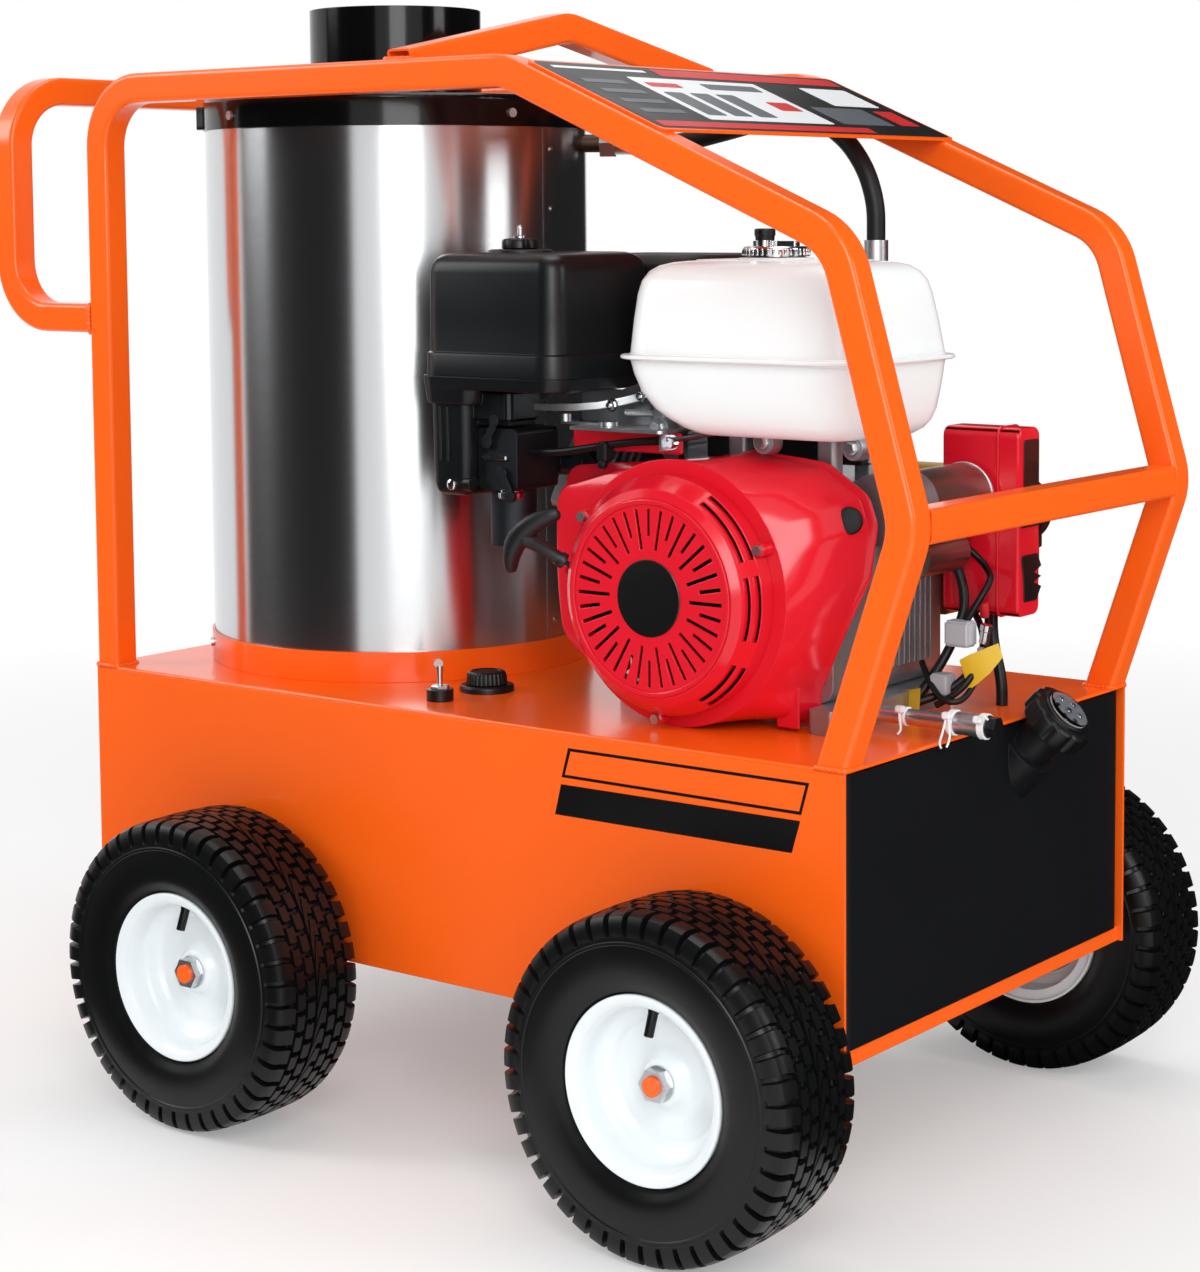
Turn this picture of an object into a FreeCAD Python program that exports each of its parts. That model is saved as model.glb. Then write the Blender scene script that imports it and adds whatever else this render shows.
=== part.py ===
import FreeCAD, Part
import math
import os

V = FreeCAD.Vector
X = V(1, 0, 0)
Y = V(0, 1, 0)
Z = V(0, 0, 1)

# Millimetres. X runs from the deck's rear end to its front end, Y to the far
# side, Z up from the floor. The finished pieces are moved so that the origin
# lies under the middle of the overall length.

# Fits
seat_gap = 0.3
running_fit = 0.06

# Skid
deck_length = 1004
deck_width = 546
deck_top = 452
skirt_bottom = 174
sheet = 3

# Tubular frame
tube_side = 32
tube_wall = 2.5
tube_corner = 5
tube_bend = 64
rail_top = deck_top + 643
slope_start_x = deck_length - 398
slope_end_x = deck_length - 14
slope_end_z = deck_top + 478
nose_x = deck_length + 60
nose_z = deck_top + 222
foot_x = deck_length - 16
handle_x = -141
handle_low_z = rail_top - 253
handle_top_z = rail_top + 5
lifting_bar_x = 461
lifting_bar_z = rail_top + 61
sign_length = 180
sign_width = deck_width - 16
sign_inset = 20
sign_corner = 8

# Wheels
wheel_radius = 165
tyre_width = 121
track_half = deck_width / 2 + 76.25
front_axle_x = deck_length - 135
rear_axle_x = 255
spindle_radius = 9.5
axle_end = track_half + 38.75
axle_beam = 40
collar_radius = 15
rim_radius = 88
bead_radius = 77
hub_outer = 24
hub_inner = 46
hub_radius = 20
rim_metal = 3
shoulder_blocks = 40
shoulder_depth = 9
rib_half = 32
tread_depth = 6

# Boiler
boiler_x = 218
jacket_radius = 216
jacket_wall = 1.5
jacket_top = deck_top + 628
base_ring_height = 33
base_ring_wall = 3
lid_bottom = jacket_top - 30
lid_top = jacket_top + 5
lid_wall = 2
stack_radius = 97
stack_top = lid_top + 100
stack_flange = 14
blanket_wall = 24
floor_thickness = 39
coil_radius = 160
coil_pipe = 10.65
coil_top = jacket_top - 46
port_angle = 30
port_reach = 235
outlet_angle = 90
ring_screw_angle = 52
lid_screw_angle = 77

# Burner under the deck
blast_tube_radius = 52
burner_y = -20
burner_z = deck_top - 137
burner_radius = 90
burner_width = 110
burner_motor_radius = 48
burner_motor_length = 105
burner_shaft = 7

# Diesel tank and battery
tank_rear_x = deck_length - 414
tank_bottom = skirt_bottom + 16
tank_skin = 5
neck_y = 60
neck_z = deck_top - 40
neck_radius = 22
neck_length = 44
neck_depth = 40
neck_wall = 4
cap_radius = 36
cap_depth = 26
battery_length = 190
battery_width = 130
battery_height = 170
battery_x = 380
battery_y = -150
battery_bottom = skirt_bottom + 26

# Deck controls
toggle_x = 467
toggle_y = -217
dial_x = 469
dial_y = -145
dial_radius = 21
dial_height = 14
dial_flange_radius = 29
dial_flange = 7

# Engine, placed by its crankshaft
engine_x = deck_length - 252
shaft_height = 132
engine_z = deck_top + shaft_height
crankcase_front = -115
crankcase_back = 86
crankcase_left = 112
crankcase_right = 136
crankcase_top = engine_z + 106
foot_thickness = 24
foot_reach = 20
crank_radius = 17.5
shaft_length = 88
cylinder_tilt = 25
cylinder_reach = 218
cylinder_half = 66
head_cover_depth = 40
flywheel_radius = 112
shroud_front = -190
shroud_mouth = 134
shroud_wall = 3
recoil_front = -232
recoil_radius = 118
recoil_face_radius = 100
recoil_wall = 2.5
slot_outer = 87
slot_long = 48
slot_short = 61
slot_width = 3.6
slot_count = 36
reel_radius = 60
recoil_bolt_angles = (25, 145, 265)
rope_radius = 2.5

# Petrol tank
petrol_x = (engine_x - 73, engine_x + 207)
petrol_y = (-192, 0)
petrol_seam = engine_z + 231
petrol_bottom = petrol_seam - 65
petrol_top = petrol_seam + 91
petrol_cap_x = engine_x + 60
petrol_cap_y = -100
petrol_cap_radius = 33
pan_side = 30
pan_slope = 44

# Air cleaner, carburettor and muffler
cleaner_x = (engine_x - 288, engine_x - 128)
cleaner_y = (-215, -50)
cleaner_bottom = engine_z + 206
cleaner_top = cleaner_bottom + 117
cleaner_wall = 3
elbow_bottom = engine_z + 81
stud_x = cleaner_x[0] + 66
stud_y = -155
stud_radius = 3
carburettor_front = -190
carburettor_x = engine_x - 252
carburettor_width = 52
carburettor_z = (engine_z + 88, engine_z + 152)
bowl_bottom = engine_z + 30
bowl_radius = 24
choke_z = engine_z + 138
fuel_valve_z = engine_z + 106
lever_reach = 26
port_x = engine_x - 177
port_z = engine_z + 111
plate_x = (engine_x - 146, engine_x - 26)
plate_front = -176
plate_z = engine_z + 154
throttle_x = engine_x - 112
throttle_y = -150
cable_stop_x = engine_x - 36
cable_y = -156
cable_end_gap = 0.8
muffler_x = (engine_x - 247, engine_x - 80)
muffler_y = (-38, 92)
muffler_z = (engine_z + 188, engine_z + 316)
outlet_x = engine_x - 167
guard_gap = 12
guard_wall = 1.5

# Starter motor and control box
starter_x = engine_x + 173
starter_z = engine_z + 84
starter_radius = 33
starter_y = (-94, 72)
box_x = (engine_x + 141, engine_x + 231)
box_y = (80, 124)
box_z = (engine_z - 39, engine_z + 153)
key_z = engine_z + 66

# Pump
pump_half = 65
pump_y = (100, 188)
manifold_depth = 66
riser_x = engine_x + 18
riser_y = 148
riser_top = engine_z + 316
hose_radius = 10
ferrule_length = 25

# Values that follow from the sizes above
half_deck = deck_width / 2
rail_y = half_deck - tube_side / 2
axle_z = wheel_radius
crank = V(engine_x, 0, engine_z)
inner_skirt = half_deck - sheet


def box(x, y, z):
    """Block between the low and high value on each axis."""
    return Part.makeBox(x[1] - x[0], y[1] - y[0], z[1] - z[0], V(x[0], y[0], z[0]))


def rod(start, direction, length, radius):
    return Part.makeCylinder(radius, length, start, direction)


def pipe(start, direction, length, radius, wall):
    return rod(start, direction, length, radius).cut(rod(start, direction, length, radius - wall))


def join(shapes):
    return shapes[0].multiFuse(shapes[1:]).removeSplitter()


def group(shapes):
    return Part.makeCompound(shapes)


def rounded(body, radius, along=None, keep=None):
    """Fillet the edges that run along a direction and that keep() picks."""
    edges = []
    for edge in body.Edges:
        if edge.Curve.TypeId != "Part::GeomLine":
            continue
        direction = edge.tangentAt(edge.FirstParameter)
        if along is not None and abs(direction.dot(along)) < 0.99:
            continue
        if keep is not None and not keep(edge.CenterOfMass):
            continue
        edges.append(edge)
    return body.makeFillet(radius, edges)


def soft_box(x, y, z, corner, top=0):
    """Block with rounded upright edges and, with top, a rounded upper rim."""
    body = rounded(box(x, y, z), corner, Z)
    if top:
        rim = [e for e in body.Edges if abs(e.CenterOfMass.z - z[1]) < 1e-3]
        body = body.makeFillet(top, rim)
    return body


def turned(points, centre, axis):
    """Solid of revolution. Each point is (distance along axis, radius)."""
    side = X if abs(axis.dot(X)) < 0.9 else Z
    wire = Part.makePolygon([centre + axis * a + side * r for a, r in points + points[:1]])
    return Part.Face(wire).revolve(centre, axis, 360)


def hex_rod(start, direction, length, across_flats):
    reach = across_flats / math.sqrt(3)
    side = Z if abs(direction.dot(Z)) < 0.9 else X
    side = side.cross(direction).normalize()
    other = direction.cross(side)
    corners = []
    for i in range(7):
        angle = math.radians(60 * i)
        corners.append(start + side * (reach * math.cos(angle)) + other * (reach * math.sin(angle)))
    return Part.Face(Part.makePolygon(corners)).extrude(direction * length)


def square_face(centre, direction, across, side, wall):
    """Ring-shaped section of a square tube with rolled corners, square to direction."""
    up = direction.cross(across).normalize()

    def outline(half, corner):
        flat = half - corner
        quarter = corner * (1 - math.sqrt(0.5))
        edges = []
        for a, b in ((1, 1), (-1, 1), (-1, -1), (1, -1)):
            ends = ((half, flat), (half - quarter, half - quarter), (flat, half))
            ends = [centre + across * (a * p) + up * (b * q) for p, q in ends]
            if a * b < 0:
                ends.reverse()
            edges.append(Part.Arc(*ends).toShape())
        sides = []
        for edge, following in zip(edges, edges[1:] + edges[:1]):
            sides += [edge, Part.makeLine(edge.Vertexes[-1].Point, following.Vertexes[0].Point)]
        return Part.Wire(sides)

    outer = outline(side / 2, tube_corner)
    return Part.Face(outer).cut(Part.Face(outline(side / 2 - wall, tube_corner - wall))).Faces[0]


def square_tube(points, across):
    """Square tube: straight runs joined by bends about each corner's normal."""
    solids = []
    start = points[0]
    for before, corner, after in zip(points, points[1:], points[2:]):
        arriving = (corner - before).normalize()
        leaving = (after - corner).normalize()
        turn = arriving.getAngle(leaving)
        normal = arriving.cross(leaving).normalize()
        setback = tube_bend * math.tan(turn / 2)
        end = corner - arriving * setback
        face = square_face(start, arriving, across, tube_side, tube_wall)
        solids.append(face.extrude(end - start))
        across = normal
        pivot = end + normal.cross(arriving) * tube_bend
        face = square_face(end, arriving, across, tube_side, tube_wall)
        solids.append(face.revolve(pivot, normal, math.degrees(turn)))
        start = corner + leaving * setback
    last = (points[-1] - start).normalize()
    solids.append(square_face(start, last, across, tube_side, tube_wall).extrude(points[-1] - start))
    return join(solids)


def below(z):
    """Everything under a height, for cutting tube ends square to the deck."""
    return box((-500, 1600), (-600, 600), (z - 200, z))


def rounded_path(points):
    """Straight runs joined by tangent arcs, each as large as its runs allow."""
    edges = []
    radii = []
    start = points[0]
    for before, corner, after in zip(points, points[1:], points[2:]):
        arriving = corner - before
        leaving = after - corner
        shorter = min(arriving.Length, leaving.Length)
        arriving.normalize()
        leaving.normalize()
        half_turn = arriving.getAngle(leaving) / 2
        setback = 0.45 * shorter
        radii.append(setback / math.tan(half_turn))
        end = corner - arriving * setback
        new_start = corner + leaving * setback
        inward = (leaving - arriving).normalize()
        bulge = radii[-1] * (1 / math.cos(half_turn) - 1)
        edges.append(Part.makeLine(start, end))
        edges.append(Part.Arc(end, corner + inward * bulge, new_start).toShape())
        start = new_start
    edges.append(Part.makeLine(start, points[-1]))
    return Part.Wire(edges), radii


def hose(points, radius, name):
    """Round cable or hose along a route; prints its radii and its volume."""
    path, radii = rounded_path(points)
    direction = (points[1] - points[0]).normalize()
    ring = Part.Wire(Part.makeCircle(radius, points[0], direction))
    body = path.makePipeShell([ring], True, False)
    ratio = body.Volume / (math.pi * radius**2 * path.Length)
    print(name, "length", round(path.Length), "radii", [round(r) for r in radii], "volume", round(ratio, 4))
    return body


# Deck and skirts


def deck_plate():
    body = box((0, deck_length), (-half_deck, half_deck), (deck_top - sheet, deck_top))
    body = rounded(body, sheet - 0.5, None, lambda c: abs(c.z - deck_top) < 1e-3)
    hole = rod(V(boiler_x, burner_y, deck_top - sheet), Z, sheet, blast_tube_radius + 4)
    return body.cut(hole)


def skirts():
    low = skirt_bottom
    high = deck_top - sheet
    panels = []
    for side in (-1, 1):
        y = sorted((side * half_deck, side * inner_skirt))
        panel = box((0, deck_length), y, (low, high))
        for axle_x in (rear_axle_x, front_axle_x):
            notch = rod(V(axle_x, y[0], axle_z), Y, sheet, collar_radius + seat_gap)
            panel = panel.cut(notch)
        panels.append(panel)
    panels.append(box((0, sheet), (-inner_skirt, inner_skirt), (low, high)))
    for x in (deck_length - 30, tank_rear_x + 10):
        panels.append(box((x, x + 25), (-inner_skirt, inner_skirt), (low, tank_bottom)))
    tray_y = (battery_y - battery_width / 2 - 4, battery_y + battery_width / 2 + 4)
    tray_x = (battery_x - 4, battery_x + battery_length + 4)
    floor = box(tray_x, (-inner_skirt, tray_y[1]), (battery_bottom - sheet, battery_bottom))
    hanger = box(tray_x, (tray_y[1] - sheet, tray_y[1]), (battery_bottom, high))
    panels.append(join([floor, hanger]))
    return group(panels)


def axle(x):
    """Square cross beam with a shouldered spindle welded in at each end."""
    half = axle_beam / 2
    beam = box((x - half, x + half), (-inner_skirt, inner_skirt), (axle_z - half, axle_z + half))
    inner = half - 4
    hollow = box((x - inner, x + inner), (-inner_skirt + 20, inner_skirt - 20), (axle_z - inner, axle_z + inner))
    solids = [beam.cut(hollow)]
    collar_end = track_half - hub_inner - seat_gap
    for side in (-1, 1):
        start = V(x, side * inner_skirt, axle_z)
        solids.append(rod(start, Y * side, collar_end - inner_skirt, collar_radius))
        solids.append(rod(start, Y * side, axle_end - inner_skirt, spindle_radius))
    return join(solids)


def rim():
    """Two-piece pressed rim on the Y axis, outer side towards -Y."""
    bore = spindle_radius + running_fit
    lip = rim_radius
    seat = bead_radius
    well = 64
    m = rim_metal
    outline = [
        (50, lip), (47, lip), (47, seat), (28, seat - 1), (22, well), (-17, well),
        (-24, seat - 1), (-47, seat), (-47, lip), (-53, lip), (-53, lip - m), (-50, lip - m),
        (-50, seat - m), (-25.5, seat - m - 1), (-19, well - m), (-13, 50), (-13, 30),
        (-17, hub_radius + 2), (-hub_outer, hub_radius), (-hub_outer, bore), (hub_inner, bore),
        (hub_inner, hub_radius), (-9.5, hub_radius), (-9.5, 50), (-15.5, well - m),
        (19.5, well - m), (25.5, seat - m - 1), (50, seat - m),
    ]
    body = turned(outline, V(0, 0, 0), Y)
    angle = math.radians(120)
    foot = V(58 * math.cos(angle), -14, 58 * math.sin(angle))
    lean = V(0.25 * math.cos(angle), -1, 0.25 * math.sin(angle)).normalize()
    return body, rod(foot, lean, 30, 4)


def tyre():
    """Tyre on the Y axis with shoulder blocks each side of a broad middle rib."""
    half = tyre_width / 2
    r = wheel_radius
    bead = bead_radius + seat_gap

    def arc(a, b, c):
        return Part.Arc(*[V(p[1], p[0], 0) for p in (a, b, c)]).toShape()

    def line(a, b):
        return Part.makeLine(V(a[1], a[0], 0), V(b[1], b[0], 0))

    outer = [(46, rim_radius + 1), (half, 122), (half - 5, 152), (half - 11, r - 4)]
    edges = []
    for side in (1, -1):
        p = [(side * a, b) for a, b in outer]
        edges.append(arc(p[0], p[1], p[2]))
        edges.append(line(p[2], p[3]))
        edges.append(line(p[0], (side * 46, bead)))
        edges.append(line((side * 46, bead), (side * 34, bead)))
        edges.append(arc((side * 34, bead), (side * (half - 9), 122), (side * (half - 20), r - 16)))
    edges.append(arc((-(half - 11), r - 4), (0, r), (half - 11, r - 4)))
    edges.append(arc((-(half - 20), r - 16), (0, r - 13), (half - 20, r - 16)))
    profile = Part.Face(Part.Wire(Part.__sortEdges__(edges)))
    body = profile.revolve(V(0, 0, 0), Y, 360)
    cutters = []
    for y in (-rib_half, rib_half):
        cutters.append(pipe(V(0, y - 2, 0), Y, 4, r + 5, 5 + tread_depth))
    for i in range(shoulder_blocks):
        for y in ((-half - 2, -rib_half), (rib_half, half + 2)):
            notch = box((r - shoulder_depth, r + 5), y, (-3.5, 3.5))
            notch.rotate(V(0, 0, 0), Y, 360 * i / shoulder_blocks)
            cutters.append(notch)
    return body.cut(Part.makeCompound(cutters))


def wheel_places():
    for end, x in (("front", front_axle_x), ("rear", rear_axle_x)):
        for hand, side in (("near", -1), ("far", 1)):
            yield end + "_" + hand, side, V(x, side * track_half, axle_z)


def placed_wheel(shape, side, centre):
    """Wheel parts are drawn for the near side and turned round for the far."""
    copy = shape.copy()
    if side > 0:
        copy.rotate(V(0, 0, 0), Z, 180)
    copy.translate(centre)
    return copy


# Tubular frame


def side_rail(side):
    y = side * rail_y
    direction = V(foot_x - nose_x, 0, deck_top - nose_z).normalize()
    points = [
        V(tube_side / 2, y, deck_top), V(tube_side / 2, y, rail_top), V(slope_start_x, y, rail_top),
        V(slope_end_x, y, slope_end_z), V(nose_x, y, nose_z), V(foot_x, y, deck_top) + direction * 20,
    ]
    return square_tube(points, Y).cut(below(deck_top))


def nose_front():
    """X of the outer face of the nose bend."""
    arriving = V(nose_x - slope_end_x, 0, nose_z - slope_end_z)
    leaving = V(foot_x - nose_x, 0, deck_top - nose_z)
    half_turn = arriving.getAngle(leaving) / 2
    middle = (leaving.normalize() - arriving.normalize()).normalize()
    pivot = V(nose_x, 0, nose_z) + middle * (tube_bend / math.cos(half_turn))
    return pivot.x + tube_bend + tube_side / 2, pivot.z


def front_crossbar():
    reach = rail_y - tube_side / 2
    x = nose_front()[0] - tube_side / 2
    points = [V(x, -reach, nose_front()[1]), V(x, reach, nose_front()[1])]
    face = square_face(points[0], Y, X, tube_side, tube_wall)
    return face.extrude(points[1] - points[0])


def push_handle():
    points = []
    for side in (-1, 1):
        leg = [
            V(0, side * rail_y, handle_low_z),
            V(handle_x, side * rail_y, handle_low_z),
            V(handle_x, side * rail_y, handle_top_z),
        ]
        points += leg if side < 0 else reversed(leg)
    return square_tube(points, Y)


def lifting_bar():
    top = rail_top + tube_side / 2
    points = [
        V(lifting_bar_x, -rail_y, top - 5),
        V(lifting_bar_x, 0, lifting_bar_z),
        V(lifting_bar_x, rail_y, top - 5),
    ]
    return square_tube(points, X).cut(below(top))


def sign_panel():
    slope = V(slope_end_x - slope_start_x, 0, slope_end_z - rail_top).normalize()
    normal = Y.cross(slope) * -1
    corner = V(slope_start_x, 0, rail_top) + slope * sign_inset + normal * (tube_side / 2)
    corner = corner - Y * (sign_width / 2)
    ends = [corner, corner + slope * sign_length]
    ends += [ends[1] + Y * sign_width, ends[0] + Y * sign_width, corner]
    plate = Part.Face(Part.makePolygon(ends)).extrude(normal * sheet)
    return rounded(plate, sign_corner, normal)


# Boiler


def around(angle):
    return V(math.cos(math.radians(angle)), math.sin(math.radians(angle)), 0)


def boiler_axis(z):
    return V(boiler_x, 0, z)


def port_hole(angle, z):
    return rod(boiler_axis(z), around(angle), jacket_radius + 20, coil_pipe + seat_gap)


coil_bottom = deck_top + floor_thickness + coil_pipe + seat_gap


def boiler_jacket():
    body = pipe(boiler_axis(deck_top), Z, jacket_top - deck_top, jacket_radius, jacket_wall)
    return body.cut(port_hole(port_angle, coil_top)).cut(port_hole(outlet_angle, coil_bottom))


def boiler_base_ring():
    outer = jacket_radius + seat_gap + base_ring_wall
    return pipe(boiler_axis(deck_top), Z, base_ring_height, outer, base_ring_wall)


def boiler_blanket():
    radius = jacket_radius - jacket_wall - seat_gap
    height = jacket_top - 30 - deck_top
    body = pipe(boiler_axis(deck_top), Z, height, radius, blanket_wall)
    slab = rod(boiler_axis(deck_top), Z, floor_thickness, radius - blanket_wall)
    slab = slab.cut(rod(V(boiler_x, burner_y, deck_top), Z, floor_thickness, blast_tube_radius + 4))
    body = join([body, slab])
    return body.cut(port_hole(port_angle, coil_top)).cut(port_hole(outlet_angle, coil_bottom))


def heating_coil():
    """Drum of the wound coil, with its inlet stub above and outlet below."""
    low = coil_bottom - coil_pipe
    height = coil_top - coil_bottom + 2 * coil_pipe
    solids = [pipe(boiler_axis(low), Z, height, coil_radius + coil_pipe, 2 * coil_pipe)]
    for angle, z in ((outlet_angle, coil_bottom), (port_angle, coil_top)):
        way = around(angle)
        solids.append(rod(boiler_axis(z) + way * coil_radius, way, port_reach - coil_radius, coil_pipe))
    return join(solids)


def boiler_lid():
    outer = jacket_radius + seat_gap + lid_wall
    body = rod(boiler_axis(lid_bottom), Z, lid_top - lid_bottom, outer)
    rim = [e for e in body.Edges if abs(e.CenterOfMass.z - lid_top) < 1e-3]
    body = body.makeFillet(6, rim)
    inside = rod(boiler_axis(lid_bottom), Z, jacket_top - lid_bottom, outer - lid_wall)
    body = body.cut(inside)
    body = body.cut(rod(boiler_axis(lid_bottom), Z, 100, stack_radius - lid_wall))
    lug = box((outer - 2, outer + 7), (-14, 14), (lid_bottom + 2, lid_top - 7))
    lug = rounded(lug, 4, X)
    lugs = []
    for angle in (port_angle + 192, port_angle + 52):
        copy = lug.copy()
        copy.rotate(V(0, 0, 0), Z, angle)
        copy.translate(boiler_axis(0))
        lugs.append(copy)
    return join([body] + lugs)


def exhaust_stack():
    """Flange ring on the lid, with the rolled tube standing on it."""
    flange = pipe(boiler_axis(lid_top), Z, sheet, stack_radius + stack_flange, stack_flange + lid_wall)
    tube = pipe(boiler_axis(lid_top + sheet), Z, stack_top - lid_top - sheet, stack_radius, lid_wall)
    return group([flange, tube])


# Burner


def burner_housing():
    half = burner_width / 2
    front = V(boiler_x, burner_y - half, burner_z)
    drum = rod(front, Y, burner_width, burner_radius)
    tube_start = V(boiler_x, burner_y, burner_z)
    neck = rod(tube_start, Z, deck_top - sheet - burner_z, blast_tube_radius)
    nozzle = rod(V(boiler_x, burner_y, deck_top - sheet), Z, floor_thickness, blast_tube_radius)
    flange = rod(V(boiler_x, burner_y, deck_top - sheet - 6), Z, 6, blast_tube_radius + 26)
    body = join([drum, neck, nozzle, flange])
    cavity = rod(front + Y * sheet, Y, burner_width - 2 * sheet, burner_radius - sheet)
    bore = rod(tube_start, Z, deck_top + floor_thickness - burner_z, blast_tube_radius - sheet)
    body = body.cut(cavity).cut(bore)
    body = body.cut(rod(front, Y, sheet, 38))
    return body.cut(rod(front, Y, burner_width, burner_shaft + 1))


def burner_motor():
    back = V(boiler_x, burner_y + burner_width / 2, burner_z)
    motor = rod(back, Y, burner_motor_length, burner_motor_radius)
    motor = motor.cut(rod(back, Y, burner_motor_length / 2, burner_shaft + running_fit))
    motor_end = back.y + burner_motor_length
    fuel_pump = box((boiler_x - 24, boiler_x + 24), (motor_end, motor_end + 42), (burner_z - 30, burner_z + 30))
    spark_box = box((boiler_x + burner_radius, boiler_x + burner_radius + 62),
                    (burner_y - 34, burner_y + 34), (burner_z - 50, burner_z + 50))
    return group([motor, rounded(fuel_pump, 6, Y), rounded(spark_box, 4, Z)])


def burner_fan():
    """Squirrel-cage blower wheel on its shaft."""
    half = burner_width / 2 - sheet - 4
    centre = V(boiler_x, burner_y, burner_z)
    shaft = rod(centre - Y * half, Y, half + burner_width / 2 + burner_motor_length / 2 - 2, burner_shaft)
    plate = rod(centre + Y * (half - 3), Y, 3, burner_radius - 12)
    ring = pipe(centre - Y * half, Y, 3, burner_radius - 12, 14)
    blades = []
    for i in range(24):
        blade = box((burner_radius - 25, burner_radius - 13), (-half + 1, half - 1), (-1, 1))
        blade.rotate(V(0, 0, 0), Y, 15 * i)
        blade.translate(centre)
        blades.append(blade)
    return join([shaft, plate, ring] + blades)


# Diesel tank and battery


neck_way = V(1, 0, 1).normalize()
tank_front = deck_length - 3
neck_base = V(tank_front, neck_y, neck_z)


def diesel_tank():
    """Moulded tank with its filler neck, a pipe let into the sloping shoulder."""
    y = inner_skirt - 2
    top = deck_top - sheet - 3
    body = box((tank_rear_x, tank_front), (-y, y), (tank_bottom, top))
    body = rounded(body, 12, Z)
    shoulder = rod(neck_base - neck_way * 45, neck_way, 56, neck_radius + 9)
    shoulder = shoulder.cut(box((0, 1200), (-300, 300), (top, top + 100)))
    skin = tank_skin
    body = join([body, shoulder])
    cavity = box((tank_rear_x + skin, tank_front - skin), (-y + skin, y - skin),
                 (tank_bottom + skin, top - skin))
    seat = rod(neck_base - neck_way * neck_depth, neck_way, neck_depth + neck_length, neck_radius)
    neck = pipe(neck_base - neck_way * neck_depth, neck_way, neck_depth + neck_length, neck_radius, neck_wall)
    return group([body.cut(rounded(cavity, 8, Z)).cut(seat), neck])


def diesel_cap():
    """Ribbed screw cap with a raised round gauge window."""
    start = neck_base + neck_way * (neck_length + seat_gap)
    body = rod(start, neck_way, cap_depth, cap_radius)
    rims = [e for e in body.Edges if e.Curve.TypeId == "Part::GeomCircle"]
    body = body.makeFillet(4, rims)
    grooves = []
    side = Y
    other = neck_way.cross(side)
    for i in range(8):
        angle = math.radians(45 * i)
        place = start + side * ((cap_radius + 5) * math.cos(angle)) + other * ((cap_radius + 5) * math.sin(angle))
        grooves.append(rod(place, neck_way, cap_depth - 8, 9))
    body = body.cut(Part.makeCompound(grooves))
    window = rod(start + neck_way * cap_depth, neck_way, 3, 22)
    return join([body, window])


def battery():
    x = (battery_x, battery_x + battery_length)
    y = (battery_y - battery_width / 2, battery_y + battery_width / 2)
    case = rounded(box(x, y, (battery_bottom, battery_bottom + battery_height)), 5, Z)
    posts = [
        rod(V(x[0] + 30, battery_y, battery_bottom + battery_height), Z, 16, 8),
        rod(V(x[1] - 30, battery_y, battery_bottom + battery_height), Z, 16, 8),
    ]
    return join([case] + posts)


# Deck controls


def control_bases():
    """Switch body, dial collar and key-switch bezel."""
    switch = rod(V(toggle_x, toggle_y, deck_top), Z, 12, 14)
    well = rod(V(toggle_x, toggle_y, deck_top + 6.5), Z, 5.5, 6.5)
    collar = rod(V(dial_x, dial_y, deck_top), Z, dial_flange, dial_flange_radius)
    rim = [e for e in collar.Edges if abs(e.CenterOfMass.z - deck_top - dial_flange) < 1e-3]
    collar = collar.makeFillet(3, rim)
    bezel = rod(key_centre(), Y, 18, 34)
    bezel = bezel.makeFillet(5, [e for e in bezel.Edges if abs(e.CenterOfMass.y - key_centre().y - 18) < 1e-3])
    return group([switch.cut(well), collar, bezel])


def burner_toggle():
    foot = V(toggle_x, toggle_y, deck_top + 12)
    ball = Part.makeSphere(5, foot)
    lever = Part.makeCone(2.5, 3.6, 24, foot, Z)
    return join([ball, lever])


def thermostat_dial():
    foot = V(dial_x, dial_y, deck_top + dial_flange + seat_gap)
    hub = rod(foot, Z, dial_height, dial_radius)
    grips = []
    for i in range(12):
        place = foot + around(30 * i) * (dial_radius + 2)
        grips.append(rod(place, Z, dial_height - 4, 3.2))
    hub = hub.cut(Part.makeCompound(grips))
    return hub


# Engine


def on_crank(x, y, z):
    """Point given from the crankshaft's axis."""
    return V(engine_x + x, y, engine_z + z)


tilt = math.radians(cylinder_tilt)
bore_way = V(-math.cos(tilt), 0, math.sin(tilt))
bore_side = V(math.sin(tilt), 0, math.cos(tilt))


def tilted_block(near, far, half, y, corner):
    """Block along the cylinder's axis, between two distances from the crank."""
    corners = [
        crank + bore_way * near - bore_side * half,
        crank + bore_way * far - bore_side * half,
        crank + bore_way * far + bore_side * half,
        crank + bore_way * near + bore_side * half,
    ]
    corners = [V(c.x, y[0], c.z) for c in corners]
    body = Part.Face(Part.makePolygon(corners + corners[:1])).extrude(Y * (y[1] - y[0]))
    return rounded(body, corner, bore_way)


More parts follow.
